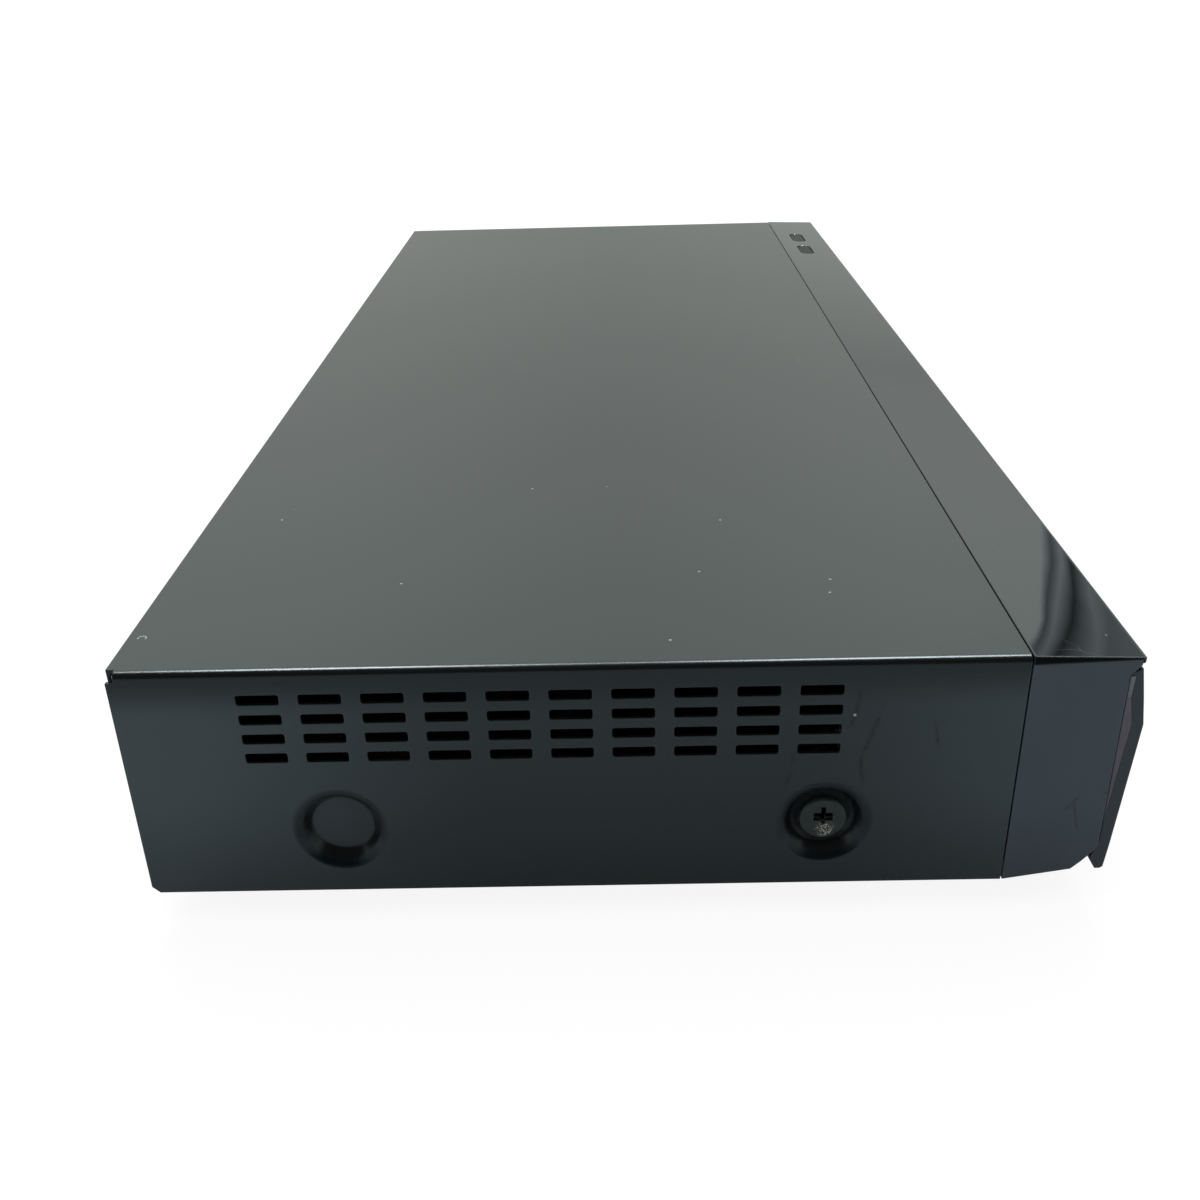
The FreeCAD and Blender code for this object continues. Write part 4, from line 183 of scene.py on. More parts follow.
class Look(Tree):
    """A Principled material with short calls for its textures."""

    def __init__(self, name, **settings):
        self.mat = bpy.data.materials.new(name)
        super().__init__(self.mat)
        self.shader = self.tree.nodes["Principled BSDF"]
        self.place = self.node("ShaderNodeTexCoord").outputs["Object"]
        for key, value in settings.items():
            self.set(key, value)

    def set(self, key, value):
        self.feed(self.shader.inputs[key.replace("_", " ")], value)

    def base(self, value):
        self.set("Base_Color", value)

    def rough(self, value):
        self.set("Roughness", value)

    def stretched(self, x, y, z):
        made = self.node("ShaderNodeMapping")
        self.feed(made.inputs["Vector"], self.place)
        made.inputs["Scale"].default_value = (x, y, z)
        return made.outputs["Vector"]

    def noise(self, scale, detail=2.0, rough=0.5, distortion=0.0, vector=None):
        made = self.node("ShaderNodeTexNoise")
        self.feed(made.inputs["Vector"], vector or self.place)
        values = {"Scale": scale, "Detail": detail, "Roughness": rough, "Distortion": distortion}
        for key, number in values.items():
            made.inputs[key].default_value = number
        return made.outputs["Fac"]

    def cells(self, scale, feature="F1", vector=None, metric="EUCLIDEAN"):
        made = self.node("ShaderNodeTexVoronoi", feature=feature)
        if feature != "DISTANCE_TO_EDGE":
            made.distance = metric
        self.feed(made.inputs["Vector"], vector or self.place)
        made.inputs["Scale"].default_value = scale
        return made

    def mottle(self, pattern, dark, pale):
        """Two colours, mixed by a noise pattern."""
        return self.blend(self.span(pattern, 0.3, 0.7), dark, pale)

    def uneven(self, pattern, low, high):
        """A value between two others, by a noise pattern."""
        return self.span(pattern, 0.3, 0.7, low, high)

    def axis(self, name, source=None):
        return self.wired("ShaderNodeSeparateXYZ", (source or self.place,)).outputs[name]

    def normal(self):
        return self.node("ShaderNodeNewGeometry").outputs["Normal"]

    def facing(self, name):
        """How far the surface faces along an axis, from the geometry's own normal."""
        own = self.wired("ShaderNodeVectorTransform", (self.normal(),), vector_type="NORMAL",
                         convert_from="WORLD", convert_to="OBJECT")
        return self.axis(name, own.outputs["Vector"])

    def end_faces(self, low=0.7, high=0.95):
        """1 on the faces that look left or right."""
        return self.span(self.unsigned(self.facing("X")), low, high)

    def soft_edges(self, radius):
        return self.wired("ShaderNodeBevel", (radius,), samples=6).outputs["Normal"]

    def edges(self, strength, radius=EDGE_RADIUS):
        """A mask of the edges: where a rounded normal leaves the true one."""
        product = self.vectors("DOT_PRODUCT", self.soft_edges(radius), self.normal())["Value"]
        return self.times(self.fall(product, 0.98, 1.0), strength)

    def bump(self, height, distance, strength=1.0, normal=None):
        made = self.node("ShaderNodeBump")
        self.feed(made.inputs["Height"], height)
        made.inputs["Distance"].default_value = distance
        made.inputs["Strength"].default_value = strength
        if normal is not None:
            self.feed(made.inputs["Normal"], normal)
        return made.outputs["Normal"]

    def grain(self, height, depth, strength, radius):
        """A fine surface over softened edges."""
        self.set("Normal", self.bump(height, depth, strength, self.soft_edges(radius)))

    def near(self, x, y, z, radius, fade):
        """1 within a radius of a point, falling to 0 beyond it."""
        away = self.vectors("DISTANCE", self.place, (x, y, z))["Value"]
        return self.fall(away, radius, radius + fade)

    def reach(self, names, middle):
        """The distance from a place as seen along the third axis, and the vector from it."""
        flat = self.node("ShaderNodeCombineXYZ")
        for name, centre in zip(names, middle):
            self.feed(flat.inputs[name], self.minus(self.axis(name), centre))
        offset = flat.outputs["Vector"]
        return self.vectors("LENGTH", offset)["Value"], offset

    def loop(self, centre, radius, width):
        """A thin curved line on the top: three quarters of a circle."""
        length, offset = self.reach("XY", centre)
        line = self.fall(self.unsigned(self.minus(length, radius)), width * 0.5, width)
        return self.times(line, self.span(self.axis("X", offset), -radius * 0.5, -radius * 0.4))

    def steps(self, reach, *steps):
        """The soft shoulders of a dimple, as a height: each step is inner radius, outer radius and rise."""
        total = 0.0
        for inner, outer, rise in steps:
            total = self.plus(self.span(reach, inner, outer, 0.0, rise), total)
        return total

    def shoulder_shade(self, reach):
        """The shoulder of a dimple, mostly its lower half: where the side is painted with shade instead of
        haze.
        """
        ring = self.times(self.span(reach, 0.0058, 0.0066), self.fall(reach, 0.0084, 0.01))
        return self.times(ring, self.span(self.axis("Z"), DIMPLE_Z - 0.004, DIMPLE_Z + 0.003, 1.0, 0.55))

    def stroke(self, points, width, fade=0.0012):
        """A thin curved mark on a side, through three places given as (y, z)."""
        (y0, z0), (y1, z1), (y2, z2) = points
        slope = (y1 - y0) / (z1 - z0)
        bend = ((y2 - y0) / (z2 - z0) - slope) / (z2 - z1)
        z = self.axis("Z")
        line = self.times(self.minus(z, z0), self.plus(slope, self.times(bend, self.minus(z, z1))))
        away = self.unsigned(self.minus(self.minus(self.axis("Y"), y0), line))
        low, high = min(z0, z2), max(z0, z2)
        ends = self.times(self.span(z, low - fade, low + fade), self.fall(z, high - fade, high + fade))
        return self.times(self.fall(away, width * 0.3, width), ends)

    def specks(self, scale, size, share):
        """Sparse round specks: a share of the cells of a Voronoi pattern hold one."""
        made = self.cells(scale)
        chosen = self.span(self.axis("X", made.outputs["Color"]), 1.0 - share, 1.0 - share + 0.001)
        return self.times(chosen, self.fall(made.outputs["Distance"], size * 0.6, size))

    def hairlines(self, scale, width, share, wander, vector=None):
        """Thin scratches: the wandering borders of large cells, kept only in patches."""
        source = vector or self.place
        moved = self.node("ShaderNodeTexNoise")
        self.feed(moved.inputs["Vector"], source)
        moved.inputs["Scale"].default_value = scale * 1.7
        source = self.vectors("MULTIPLY_ADD", moved.outputs["Color"], (wander,) * 3, source)["Vector"]
        line = self.fall(self.cells(scale, "DISTANCE_TO_EDGE", source).outputs["Distance"], 0.0, width)
        patch = self.span(self.noise(scale * 0.9, 1.0, vector=source), 1.0 - share, 1.0 - share + 0.08)
        return self.times(line, patch)


def scaled(colour, factor, lift=0.0):
    return tuple(min(1.0, c * factor + lift) for c in colour)


def metal_sheet(name, colour, rough, spangle, grain=(3.0, 900.0, 900.0)):
    """Rolled or plated sheet: a mottled value, fine drawn lines and brighter cut edges."""
    look = Look(name, Metallic=1.0)
    flake = look.cells(spangle)
    tone = look.ramp(look.axis("X", flake.outputs["Color"]), 0.0, 1.0)
    body = look.blend(look.mix(0.5, tone, look.noise(18.0, 3.0)), scaled(colour, 0.8), colour)
    look.base(look.blend(look.edges(0.6), body, scaled(colour, 1.25)))
    lines = look.noise(1.0, vector=look.stretched(*grain))
    look.rough(look.plus(look.uneven(lines, rough - 0.06, rough + 0.08), look.times(tone, 0.06)))
    look.grain(lines, 0.00001, 0.35, 0.00025)
    return look.mat


def moulded(name, colour, rough, grain=1800.0, depth=0.00001, worn=0.35, **settings):
    """Moulded plastic: a faint spark-eroded grain, cloudy gloss and slightly paler edges."""
    look = Look(name, **settings)
    cloud = look.noise(30.0, 3.0)
    body = look.mottle(cloud, scaled(colour, 0.82), colour)
    look.base(look.blend(look.edges(worn), body, scaled(colour, 1.6, 0.004)))
    fine = look.noise(grain, 2.0)
    gloss = look.span(cloud, 0.25, 0.75, rough - 0.05, rough + 0.05)
    look.rough(look.plus(gloss, look.uneven(fine, -0.02, 0.03)))
    look.grain(fine, depth, 0.6, EDGE_RADIUS)
    return look.mat


def turned(name, colour, rough):
    """Plated or polished metal with fine turning marks."""
    look = Look(name, Metallic=1.0)
    marks = look.noise(2600.0, 1.0)
    look.base(look.mottle(look.noise(60.0), scaled(colour, 0.86), colour))
    look.rough(look.uneven(marks, rough - 0.03, rough + 0.07))
    look.grain(marks, 0.000006, 0.4, 0.00015)
    return look.mat


# Outer finishes

def cover_paint():
    """Satin black paint with fine orange peel, a little dust and a wiped haze on the sides, which is also
    painted light: lighter towards the ends, darker lower down, under the top bend and in the dimples.
    """
    look = Look("cover_paint", IOR=1.4, Specular_Tint=(0.83, 0.96, 1.0))
    cloud = look.noise(9.0, 4.0, 0.55)
    side = look.end_faces(0.6, 0.9)
    z = look.axis("Z")
    # Where the haze lies on the sides, with painted shade: none under the top bend, and less towards the
    # bottom.
    height = look.times(look.fall(z, 0.048, 0.0578), look.span(z, 0.006, 0.034, 0.5, 1.0))
    front_reach, rear_reach = (look.reach("YZ", (y, DIMPLE_Z))[0] for y in (FRONT_DIMPLE_Y, REAR_DIMPLE_Y))
    # Painted shade: the haze is taken out of the dimples' shoulders, mostly their lower halves.
    shade = look.larger(look.shoulder_shade(front_reach), look.shoulder_shade(rear_reach))
    height = look.times(height, look.minus(1.0, shade))
    rubbed = look.stroke(SIDE_MARKS[0], SIDE_MARK_WIDTH)
    for points in SIDE_MARKS[1:]:
        rubbed = look.larger(rubbed, look.stroke(points, SIDE_MARK_WIDTH))
    rubbed = look.times(look.times(rubbed, look.span(look.noise(700.0, 3.0, 0.7), 0.36, 0.56)), side)
    # Painted reflection: the haze is lighter towards both ends of the side.
    ends = look.span(look.unsigned(look.minus(look.axis("Y"), -0.006)), 0.025, 0.098)
    haze_and_sheen = look.blend(look.times(ends, look.span(look.noise(16.0, 3.0), 0.1, 0.6, 0.75, 1.0)),
                      (0.015, 0.0192, 0.0195), (0.044, 0.0555, 0.06))
    paint = look.mottle(cloud, (0.0042, 0.005, 0.0047), (0.0062, 0.007, 0.0066))
    paint = look.blend(look.times(side, height), paint, haze_and_sheen)
    # Painted shade: a dark bluish crescent in the dimples' shoulders.
    paint = look.blend(look.times(shade, side), paint, (0.0015, 0.004, 0.0065))
    paint = look.blend(look.times(rubbed, 0.6), paint, (0.001, 0.0013, 0.0014))
    paint = look.blend(look.edges(0.3), paint, (0.04, 0.045, 0.045))
    dust = look.times(look.plus(look.specks(95.0, 0.03, 0.08), look.specks(42.0, 0.018, 0.1)), 0.5)
    up = look.span(look.facing("Z"), 0.6, 0.9)
    spots = look.loop(FIBRE, 0.0008, 0.00018)
    for x, y in DUST_SPOTS:
        spots = look.larger(spots, look.near(x, y, TOP_Z, 0.0002, 0.00014))
    spots = look.times(spots, up)
    spots = look.larger(spots, look.near(-HALF_WIDTH, SIDE_SPECK[0], SIDE_SPECK[1], 0.00022, 0.00012))
    dust = look.larger(dust, look.times(spots, 0.75))
    look.base(look.blend(dust, paint, (0.5, 0.5, 0.47)))
    fine = look.noise(3200.0, 1.0)
    peel = look.noise(700.0)
    gloss = look.plus(look.span(cloud, 0.25, 0.75, 0.22, 0.27), look.times(rubbed, 0.1))
    look.rough(look.plus(gloss, look.times(dust, 0.4)))
    pressed = look.larger(*(look.near(-HALF_WIDTH, y, DIMPLE_Z, DIMPLE_REACH, 0.001)
                            for y in (FRONT_DIMPLE_Y, REAR_DIMPLE_Y)))
    rounded = look.soft_edges(look.larger(EDGE_RADIUS, look.times(pressed, 0.0012)))
    rim = look.steps(front_reach, (0.0078, 0.0101, 0.0009), (0.0047, 0.0063, 0.0006))
    rim = look.plus(rim, look.steps(rear_reach, (0.0078, 0.0101, 0.0009)))
    rounded = look.bump(rim, 1.0, 1.0, rounded)
    look.set("Normal", look.bump(fine, 0.00001, 0.3, look.bump(peel, 0.00002, 0.25, rounded)))
    return look.mat


def gloss_strip():
    """High gloss black with hairline scratches and dust."""
    look = Look("gloss_strip", IOR=1.42, Specular_Tint=(0.86, 0.97, 1.0))
    haze_and_sheen = look.noise(14.0, 3.0, 0.6, 0.6)
    hair = look.hairlines(60.0, 0.006, 0.42, 0.01, look.stretched(1.0, 0.6, 1.0))
    dust = look.plus(look.specks(160.0, 0.05, 0.06), look.specks(60.0, 0.03, 0.1))
    body = look.blend(look.edges(0.4), (0.0045, 0.0055, 0.006), (0.04, 0.045, 0.048))
    body = look.blend(look.times(hair, 0.12), body, (0.2, 0.21, 0.21))
    look.base(look.blend(look.times(dust, 0.5), body, (0.4, 0.4, 0.38)))
    gloss = look.span(haze_and_sheen, 0.3, 0.75, 0.02, 0.05)
    look.rough(look.plus(gloss, look.times(look.plus(hair, dust), 0.2)))
    ripple = look.noise(22.0, 1.0)
    droop = look.times(look.times(look.axis("Z"), look.end_faces()), -0.55)
    drooped = look.bump(droop, 1.0, 1.0, look.soft_edges(0.0006))
    look.set("Normal", look.bump(ripple, 0.00003, 0.12, look.bump(hair, 0.000004, 0.3, drooped)))
    return look.mat


def frame_plastic():
    """Satin end cheeks and frame, with faint curved scratches."""
    look = Look("frame_plastic", IOR=1.5, Specular_Tint=(0.84, 0.95, 1.0))
    cloud = look.noise(16.0, 4.0, 0.6)
    hair = look.hairlines(38.0, 0.01, 0.44, 0.02)
    for points in CHEEK_MARKS:
        hair = look.larger(hair, look.times(look.stroke(points, 0.0004, 0.0006), 0.6))
    body = look.mottle(cloud, (0.03, 0.038, 0.046), (0.042, 0.052, 0.062))
    # Painted shade: darker towards the bottom.
    body = look.blend(look.span(look.axis("Z"), 0.006, 0.026, 0.4, 0.0), body, (0.012, 0.015, 0.017))
    body = look.blend(look.edges(0.4), body, (0.06, 0.065, 0.07))
    look.base(look.blend(look.times(hair, 0.85), body, (0.002, 0.0025, 0.003)))
    fine = look.noise(2200.0)
    look.rough(look.plus(look.span(cloud, 0.25, 0.75, 0.3, 0.4), look.times(hair, 0.1)))
    scratched = look.bump(hair, 0.00001, -0.4, look.soft_edges(EDGE_RADIUS))
    look.set("Normal", look.bump(fine, 0.00001, 0.35, scratched))
    return look.mat


def door_plastic():
    """Dark gloss skin of the flap and the tray's fascia, satin where it was cut at the ends."""
    look = Look("door_plastic", IOR=1.46, Specular_Tint=(0.88, 0.95, 1.0))
    cloud = look.noise(20.0, 3.0)
    end = look.end_faces()
    hair = look.hairlines(45.0, 0.008, 0.38, 0.015)
    front = look.mottle(cloud, (0.006, 0.0065, 0.0075), (0.009, 0.0095, 0.011))
    body = look.blend(end, front, (0.0175, 0.0205, 0.0265))
    body = look.blend(look.edges(0.5), body, (0.075, 0.075, 0.085))
    look.base(look.blend(look.times(hair, 0.08), body, (0.15, 0.15, 0.15)))
    look.rough(look.mix(end, look.uneven(cloud, 0.07, 0.13), 0.34))
    look.grain(look.noise(1500.0), 0.000006, 0.3, 0.0004)
    return look.mat


def smoked_plastic(name, deep, pale, rough):
    """Tinted plastic seen edge on: a cloudy purple grey with drawn streaks. The pale tones are painted light,
    for the light that passes through the plastic.
    """
    look = Look(name, IOR=1.45, Coat_Weight=0.25, Coat_Roughness=0.2)
    streak = look.noise(1.0, 3.0, 0.6, 0.3, look.stretched(20.0, 260.0, 45.0))
    # Painted light: the purple grey glow of light passing through the tinted plastic.
    look.base(look.mottle(streak, deep, pale))
    look.rough(look.uneven(streak, rough - 0.06, rough + 0.06))
    look.grain(look.noise(1200.0), 0.00001, 0.3, 0.0002)
    return look.mat


def window_plastic():
    """The fixed window: near-black gloss over the dark glass of the display."""
    look = Look("window_plastic", IOR=1.47, Specular_Tint=(0.95, 0.97, 1.0))
    cloud = look.noise(24.0, 3.0)
    end = look.end_faces()
    low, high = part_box("display_tube")
    fade = 0.001
    sides = ((look.axis("X"), low.x, high.x), (look.axis("Z"), low.z, high.z))
    shown = look.times(*(look.times(look.span(at, first, first + fade), look.fall(at, last - fade, last))
                         for at, first, last in sides))
    front = look.mottle(cloud, (0.006, 0.0062, 0.0075), (0.008, 0.0085, 0.01))
    front = look.blend(look.times(shown, 0.8), front, (0.013, 0.018, 0.02))
    body = look.blend(end, front, (0.0185, 0.0195, 0.0235))
    look.base(look.blend(look.edges(0.5), body, (0.07, 0.07, 0.08)))
    look.rough(look.mix(end, look.uneven(cloud, 0.05, 0.1), 0.34))
    look.grain(look.noise(1500.0), 0.000005, 0.3, 0.0004)
    return look.mat


def black_screw():
    """Black plated steel. Pale dust has settled in the recess of the screws in the side dimples. The cross in
    the screw of the front dimples is painted shade: near black, and wider than it is cut.
    """
    look = Look("black_screw", IOR=1.45, Specular_Tint=(0.86, 1.0, 0.96))
    cloud = look.noise(400.0, 3.0)
    y = look.unsigned(look.minus(look.axis("Y"), FRONT_DIMPLE_Y))
    z = look.unsigned(look.minus(look.axis("Z"), DIMPLE_Z + 0.001))
    # The cross of the front dimples' screw, a mask for painted shade.
    cross = look.larger(*(look.times(look.fall(off, 0.0004, 0.0005), look.fall(along, 0.0018, 0.0019))
                          for off, along in ((y, z), (z, y))))
    body = look.mottle(cloud, (0.007, 0.009, 0.009), (0.013, 0.016, 0.016))
    body = look.blend(look.edges(0.6, 0.0002), body, (0.09, 0.095, 0.095))
    dust = look.times(look.near(-HALF_WIDTH, FRONT_DIMPLE_Y - 0.0005, DIMPLE_Z - 0.0024, 0.0008, 0.0016),
                      look.span(look.noise(1500.0, 4.0, 0.7), 0.5, 0.58))
    # Painted shade: the cross near black, and metallic with that colour so that it shows almost no light.
    body = look.blend(cross, body, (0.0005, 0.0005, 0.0005))
    look.set("Metallic", cross)
    look.base(look.blend(dust, body, (0.42, 0.43, 0.33)))
    look.rough(look.plus(look.uneven(cloud, 0.26, 0.38), look.times(look.larger(dust, cross), 0.5)))
    look.grain(look.noise(1600.0), 0.00001, 0.5, 0.0002)
    return look.mat


def rubber_feet():
    look = Look("foot_rubber", IOR=1.45)
    cloud = look.noise(60.0, 3.0)
    sole = look.fall(look.axis("Z"), 0.0, 0.0012)
    body = look.mottle(cloud, (0.014, 0.014, 0.015), (0.024, 0.024, 0.025))
    look.base(look.blend(look.times(sole, 0.5), body, (0.06, 0.058, 0.055)))
    look.rough(look.uneven(look.noise(900.0), 0.6, 0.8))
    look.grain(look.noise(1400.0, 3.0), 0.00004, 0.6, 0.0004)
    return look.mat


# Inner finishes

def circuit_board(name, mask_dark, mask_pale, trace, cell):
    """Lacquered board with copper tracks under the lacquer, plated holes and a bare fibre edge."""
    look = Look(name, IOR=1.5)
    tracks = look.cells(cell, "DISTANCE_TO_EDGE")
    broad = look.cells(cell * 0.37, metric="MANHATTAN")
    lines = look.fall(tracks.outputs["Distance"], 0.03, 0.06)
    ground = look.span(look.axis("X", broad.outputs["Color"]), 0.45, 0.46)
    colour = look.blend(look.times(look.larger(lines, ground), 0.75), mask_dark, mask_pale)
    pads = look.specks(cell * 2.2, 0.14, 0.3)
    colour = look.blend(pads, colour, trace)
    sides = look.fall(look.unsigned(look.facing("Z")), 0.3, 0.6)
    look.base(look.blend(sides, colour, (0.32, 0.28, 0.15)))
    look.set("Metallic", look.times(pads, 0.9))
    look.rough(look.mix(pads, look.uneven(look.noise(60.0), 0.28, 0.4), 0.35))
    height = look.plus(look.larger(lines, ground), look.times(pads, 1.5))
    look.grain(height, 0.00004, 0.6, 0.0002)
    return look.mat


def chips_look():
    """Black moulded packages, and coils whose copper winding shows between ferrite ends."""
    look = Look("chip_resin", IOR=1.5)
    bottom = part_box("main_chips")[0].z
    coil = look.span(look.axis("Z"), bottom + 0.0052, bottom + 0.0056)
    winding = look.noise(1.0, 1.0, vector=look.stretched(60.0, 60.0, 2600.0))
    package = look.mottle(look.noise(700.0, 3.0), (0.014, 0.014, 0.015), (0.026, 0.026, 0.028))
    copper = look.blend(look.span(winding, 0.35, 0.65), (0.18, 0.07, 0.03), (0.5, 0.22, 0.09))
    look.base(look.blend(coil, package, copper))
    look.set("Metallic", look.times(coil, 0.7))
    look.rough(look.mix(coil, 0.52, 0.35))
    look.grain(look.noise(1500.0), 0.00002, 0.5, 0.0003)
    return look.mat


def transformer_look():
    """Yellow tape round the winding, a dark ferrite core and a black bobbin foot."""
    look = Look("transformer_tape", IOR=1.5)
    low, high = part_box("transformer")
    out = look.span(look.unsigned(look.minus(look.axis("Y"), (low.y + high.y) / 2)), 0.01405, 0.0141)
    under = look.fall(look.axis("Z"), low.z + 0.0039, low.z + 0.00405)
    ferrite = look.mottle(look.noise(500.0, 4.0, 0.7), (0.03, 0.028, 0.028), (0.06, 0.056, 0.055))
    wraps = look.noise(1.0, 1.0, vector=look.stretched(30.0, 30.0, 420.0))
    tape = look.blend(look.span(wraps, 0.35, 0.65), (0.3, 0.2, 0.03), (0.4, 0.28, 0.05))
    body = look.blend(out, ferrite, tape)
    look.base(look.blend(under, body, (0.02, 0.02, 0.02)))
    look.rough(look.mix(out, 0.6, 0.3))
    look.grain(look.noise(900.0, 3.0), 0.00003, 0.4, 0.0003)
    return look.mat


def capacitor_look():
    """Shrink sleeve with a paler stripe, and a bare crimped metal top."""
    look = Look("capacitor_sleeve", IOR=1.5)
    top = look.span(look.facing("Z"), 0.7, 0.85)
    stripe = look.span(look.noise(130.0, 1.0), 0.52, 0.54)
    sleeve = look.blend(stripe, (0.012, 0.014, 0.03), (0.02, 0.024, 0.05))
    look.base(look.blend(top, sleeve, (0.3, 0.3, 0.3)))
    look.set("Metallic", top)
    look.rough(look.mix(top, 0.3, 0.38))
    look.grain(look.noise(260.0), 0.00006, 0.3, 0.0004)
    return look.mat


def jack_look():
    """Two moulded barrels, the lower red and the upper white, on a black block."""
    look = Look("jack_moulding", IOR=1.5)
    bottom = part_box("av_jacks")[0].z
    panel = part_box("rear_panel")[1].y
    barrel = look.span(look.axis("Y"), panel - 0.0012, panel - 0.001)
    upper = look.span(look.axis("Z"), bottom + 0.0124, bottom + 0.0126)
    cloud = look.span(look.noise(200.0, 3.0), 0.3, 0.7)
    red = look.blend(cloud, (0.36, 0.02, 0.015), (0.46, 0.03, 0.02))
    white = look.blend(cloud, (0.68, 0.67, 0.63), (0.76, 0.75, 0.71))
    look.base(look.blend(barrel, (0.018, 0.018, 0.019), look.blend(upper, red, white)))
    look.rough(look.span(cloud, 0.0, 1.0, 0.28, 0.38))
    look.grain(look.noise(1300.0), 0.00001, 0.4, 0.0003)
    return look.mat


def drive_look():
    """Cast body with a brushed lid."""
    look = Look("drive_cast", Metallic=1.0)
    lid = look.span(look.facing("Z"), 0.6, 0.9)
    grit = look.noise(900.0, 4.0, 0.7)
    brushed = look.noise(1.0, vector=look.stretched(8.0, 1600.0, 8.0))
    cast = look.mottle(grit, (0.28, 0.285, 0.29), (0.4, 0.405, 0.41))
    steel = look.mottle(brushed, (0.5, 0.505, 0.51), (0.62, 0.625, 0.63))
    look.base(look.blend(lid, cast, steel))
    look.rough(look.mix(lid, 0.5, 0.3))
    look.set("Normal", look.bump(look.mix(lid, grit, brushed), 0.00003, 0.35, look.soft_edges(0.0004)))
    return look.mat


def tray_look():
    """Charcoal tray, finely grained, with faint scratches and paler edges."""
    look = Look("tray_plastic", IOR=1.45)
    grain = look.noise(1500.0, 3.0)
    cloud = look.noise(25.0, 3.0)
    body = look.mottle(cloud, (0.017, 0.0175, 0.019), (0.024, 0.0245, 0.0265))
    hair = look.hairlines(40.0, 0.008, 0.4, 0.02)
    body = look.blend(look.edges(0.45), body, (0.08, 0.08, 0.085))
    look.base(look.blend(look.times(hair, 0.25), body, (0.07, 0.07, 0.075)))
    look.rough(look.plus(look.uneven(cloud, 0.38, 0.46), look.uneven(grain, -0.03, 0.04)))
    look.grain(grain, 0.00003, 0.5, 0.0004)
    return look.mat


def ribbon_look():
    """White film with a row of fine conductors, and blue stiffeners at the ends."""
    look = Look("ribbon_film", IOR=1.5)
    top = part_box("ribbon_cable")[1].z
    wires = look.span(look.calc("SINE", look.times(look.axis("Y"), 2 * math.pi / 0.001)), 0.1, 0.5)
    film = look.blend(wires, (0.62, 0.64, 0.67), (0.42, 0.44, 0.47))
    ends = look.span(look.axis("Z"), top - 0.004, top - 0.0035)
    look.base(look.blend(ends, film, (0.03, 0.09, 0.35)))
    look.rough(look.uneven(look.noise(80.0), 0.25, 0.38))
    look.set("Normal", look.bump(wires, 0.00004, 0.5))
    return look.mat


def socket_metal():
    look = Look("socket_plate", Metallic=1.0)
    cloud = look.noise(180.0, 3.0)
    look.base(look.mottle(cloud, (0.46, 0.455, 0.44), (0.62, 0.615, 0.6)))
    look.rough(look.uneven(cloud, 0.24, 0.34))
    look.grain(look.noise(1800.0), 0.000008, 0.4, 0.0002)
    return look.mat


def display_glass():
    """Dark glass with the faint grid of the unlit display behind it."""
    look = Look("display_glass", IOR=1.5, Coat_Weight=0.6)
    bars = look.unsigned(look.calc("SINE", look.times(look.axis("X"), math.pi / 0.009)))
    rows = look.unsigned(look.calc("SINE", look.times(look.axis("Z"), math.pi / 0.0055)))
    cells = look.times(look.span(bars, 0.25, 0.32), look.span(rows, 0.2, 0.28))
    look.base(look.blend(cells, (0.012, 0.016, 0.018), (0.03, 0.042, 0.045)))
    look.rough(look.uneven(look.noise(60.0), 0.04, 0.1))
    look.grain(cells, 0.00001, 0.3, 0.0004)
    return look.mat


def lens_look():
    look = Look("lens_glass", IOR=1.55, Transmission_Weight=0.85, Coat_Weight=0.5, Coat_Tint=(0.6, 0.5, 1.0))
    look.base(look.mottle(look.noise(400.0, 1.0), (0.42, 0.5, 0.85), (0.5, 0.6, 0.9)))
    look.rough(look.uneven(look.noise(900.0, 1.0), 0.02, 0.05))
    return look.mat


def turntable_look():
    """Black platter with a rubber ring round a bright hub."""
    look = Look("turntable_rubber", IOR=1.5)
    low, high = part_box("turntable")
    hub = look.times(look.near((low.x + high.x) / 2, (low.y + high.y) / 2, high.z, 0.0078, 0.0001),
                     look.span(look.axis("Z"), high.z - 0.0023, high.z - 0.0021))
    rubber = look.blend(look.noise(300.0, 3.0), (0.014, 0.014, 0.014), (0.03, 0.03, 0.03))
    look.base(look.blend(hub, rubber, (0.5, 0.5, 0.5)))
    look.set("Metallic", hub)
    look.rough(look.mix(hub, 0.7, 0.25))
    look.grain(look.noise(1200.0), 0.00003, 0.5, 0.0003)
    return look.mat


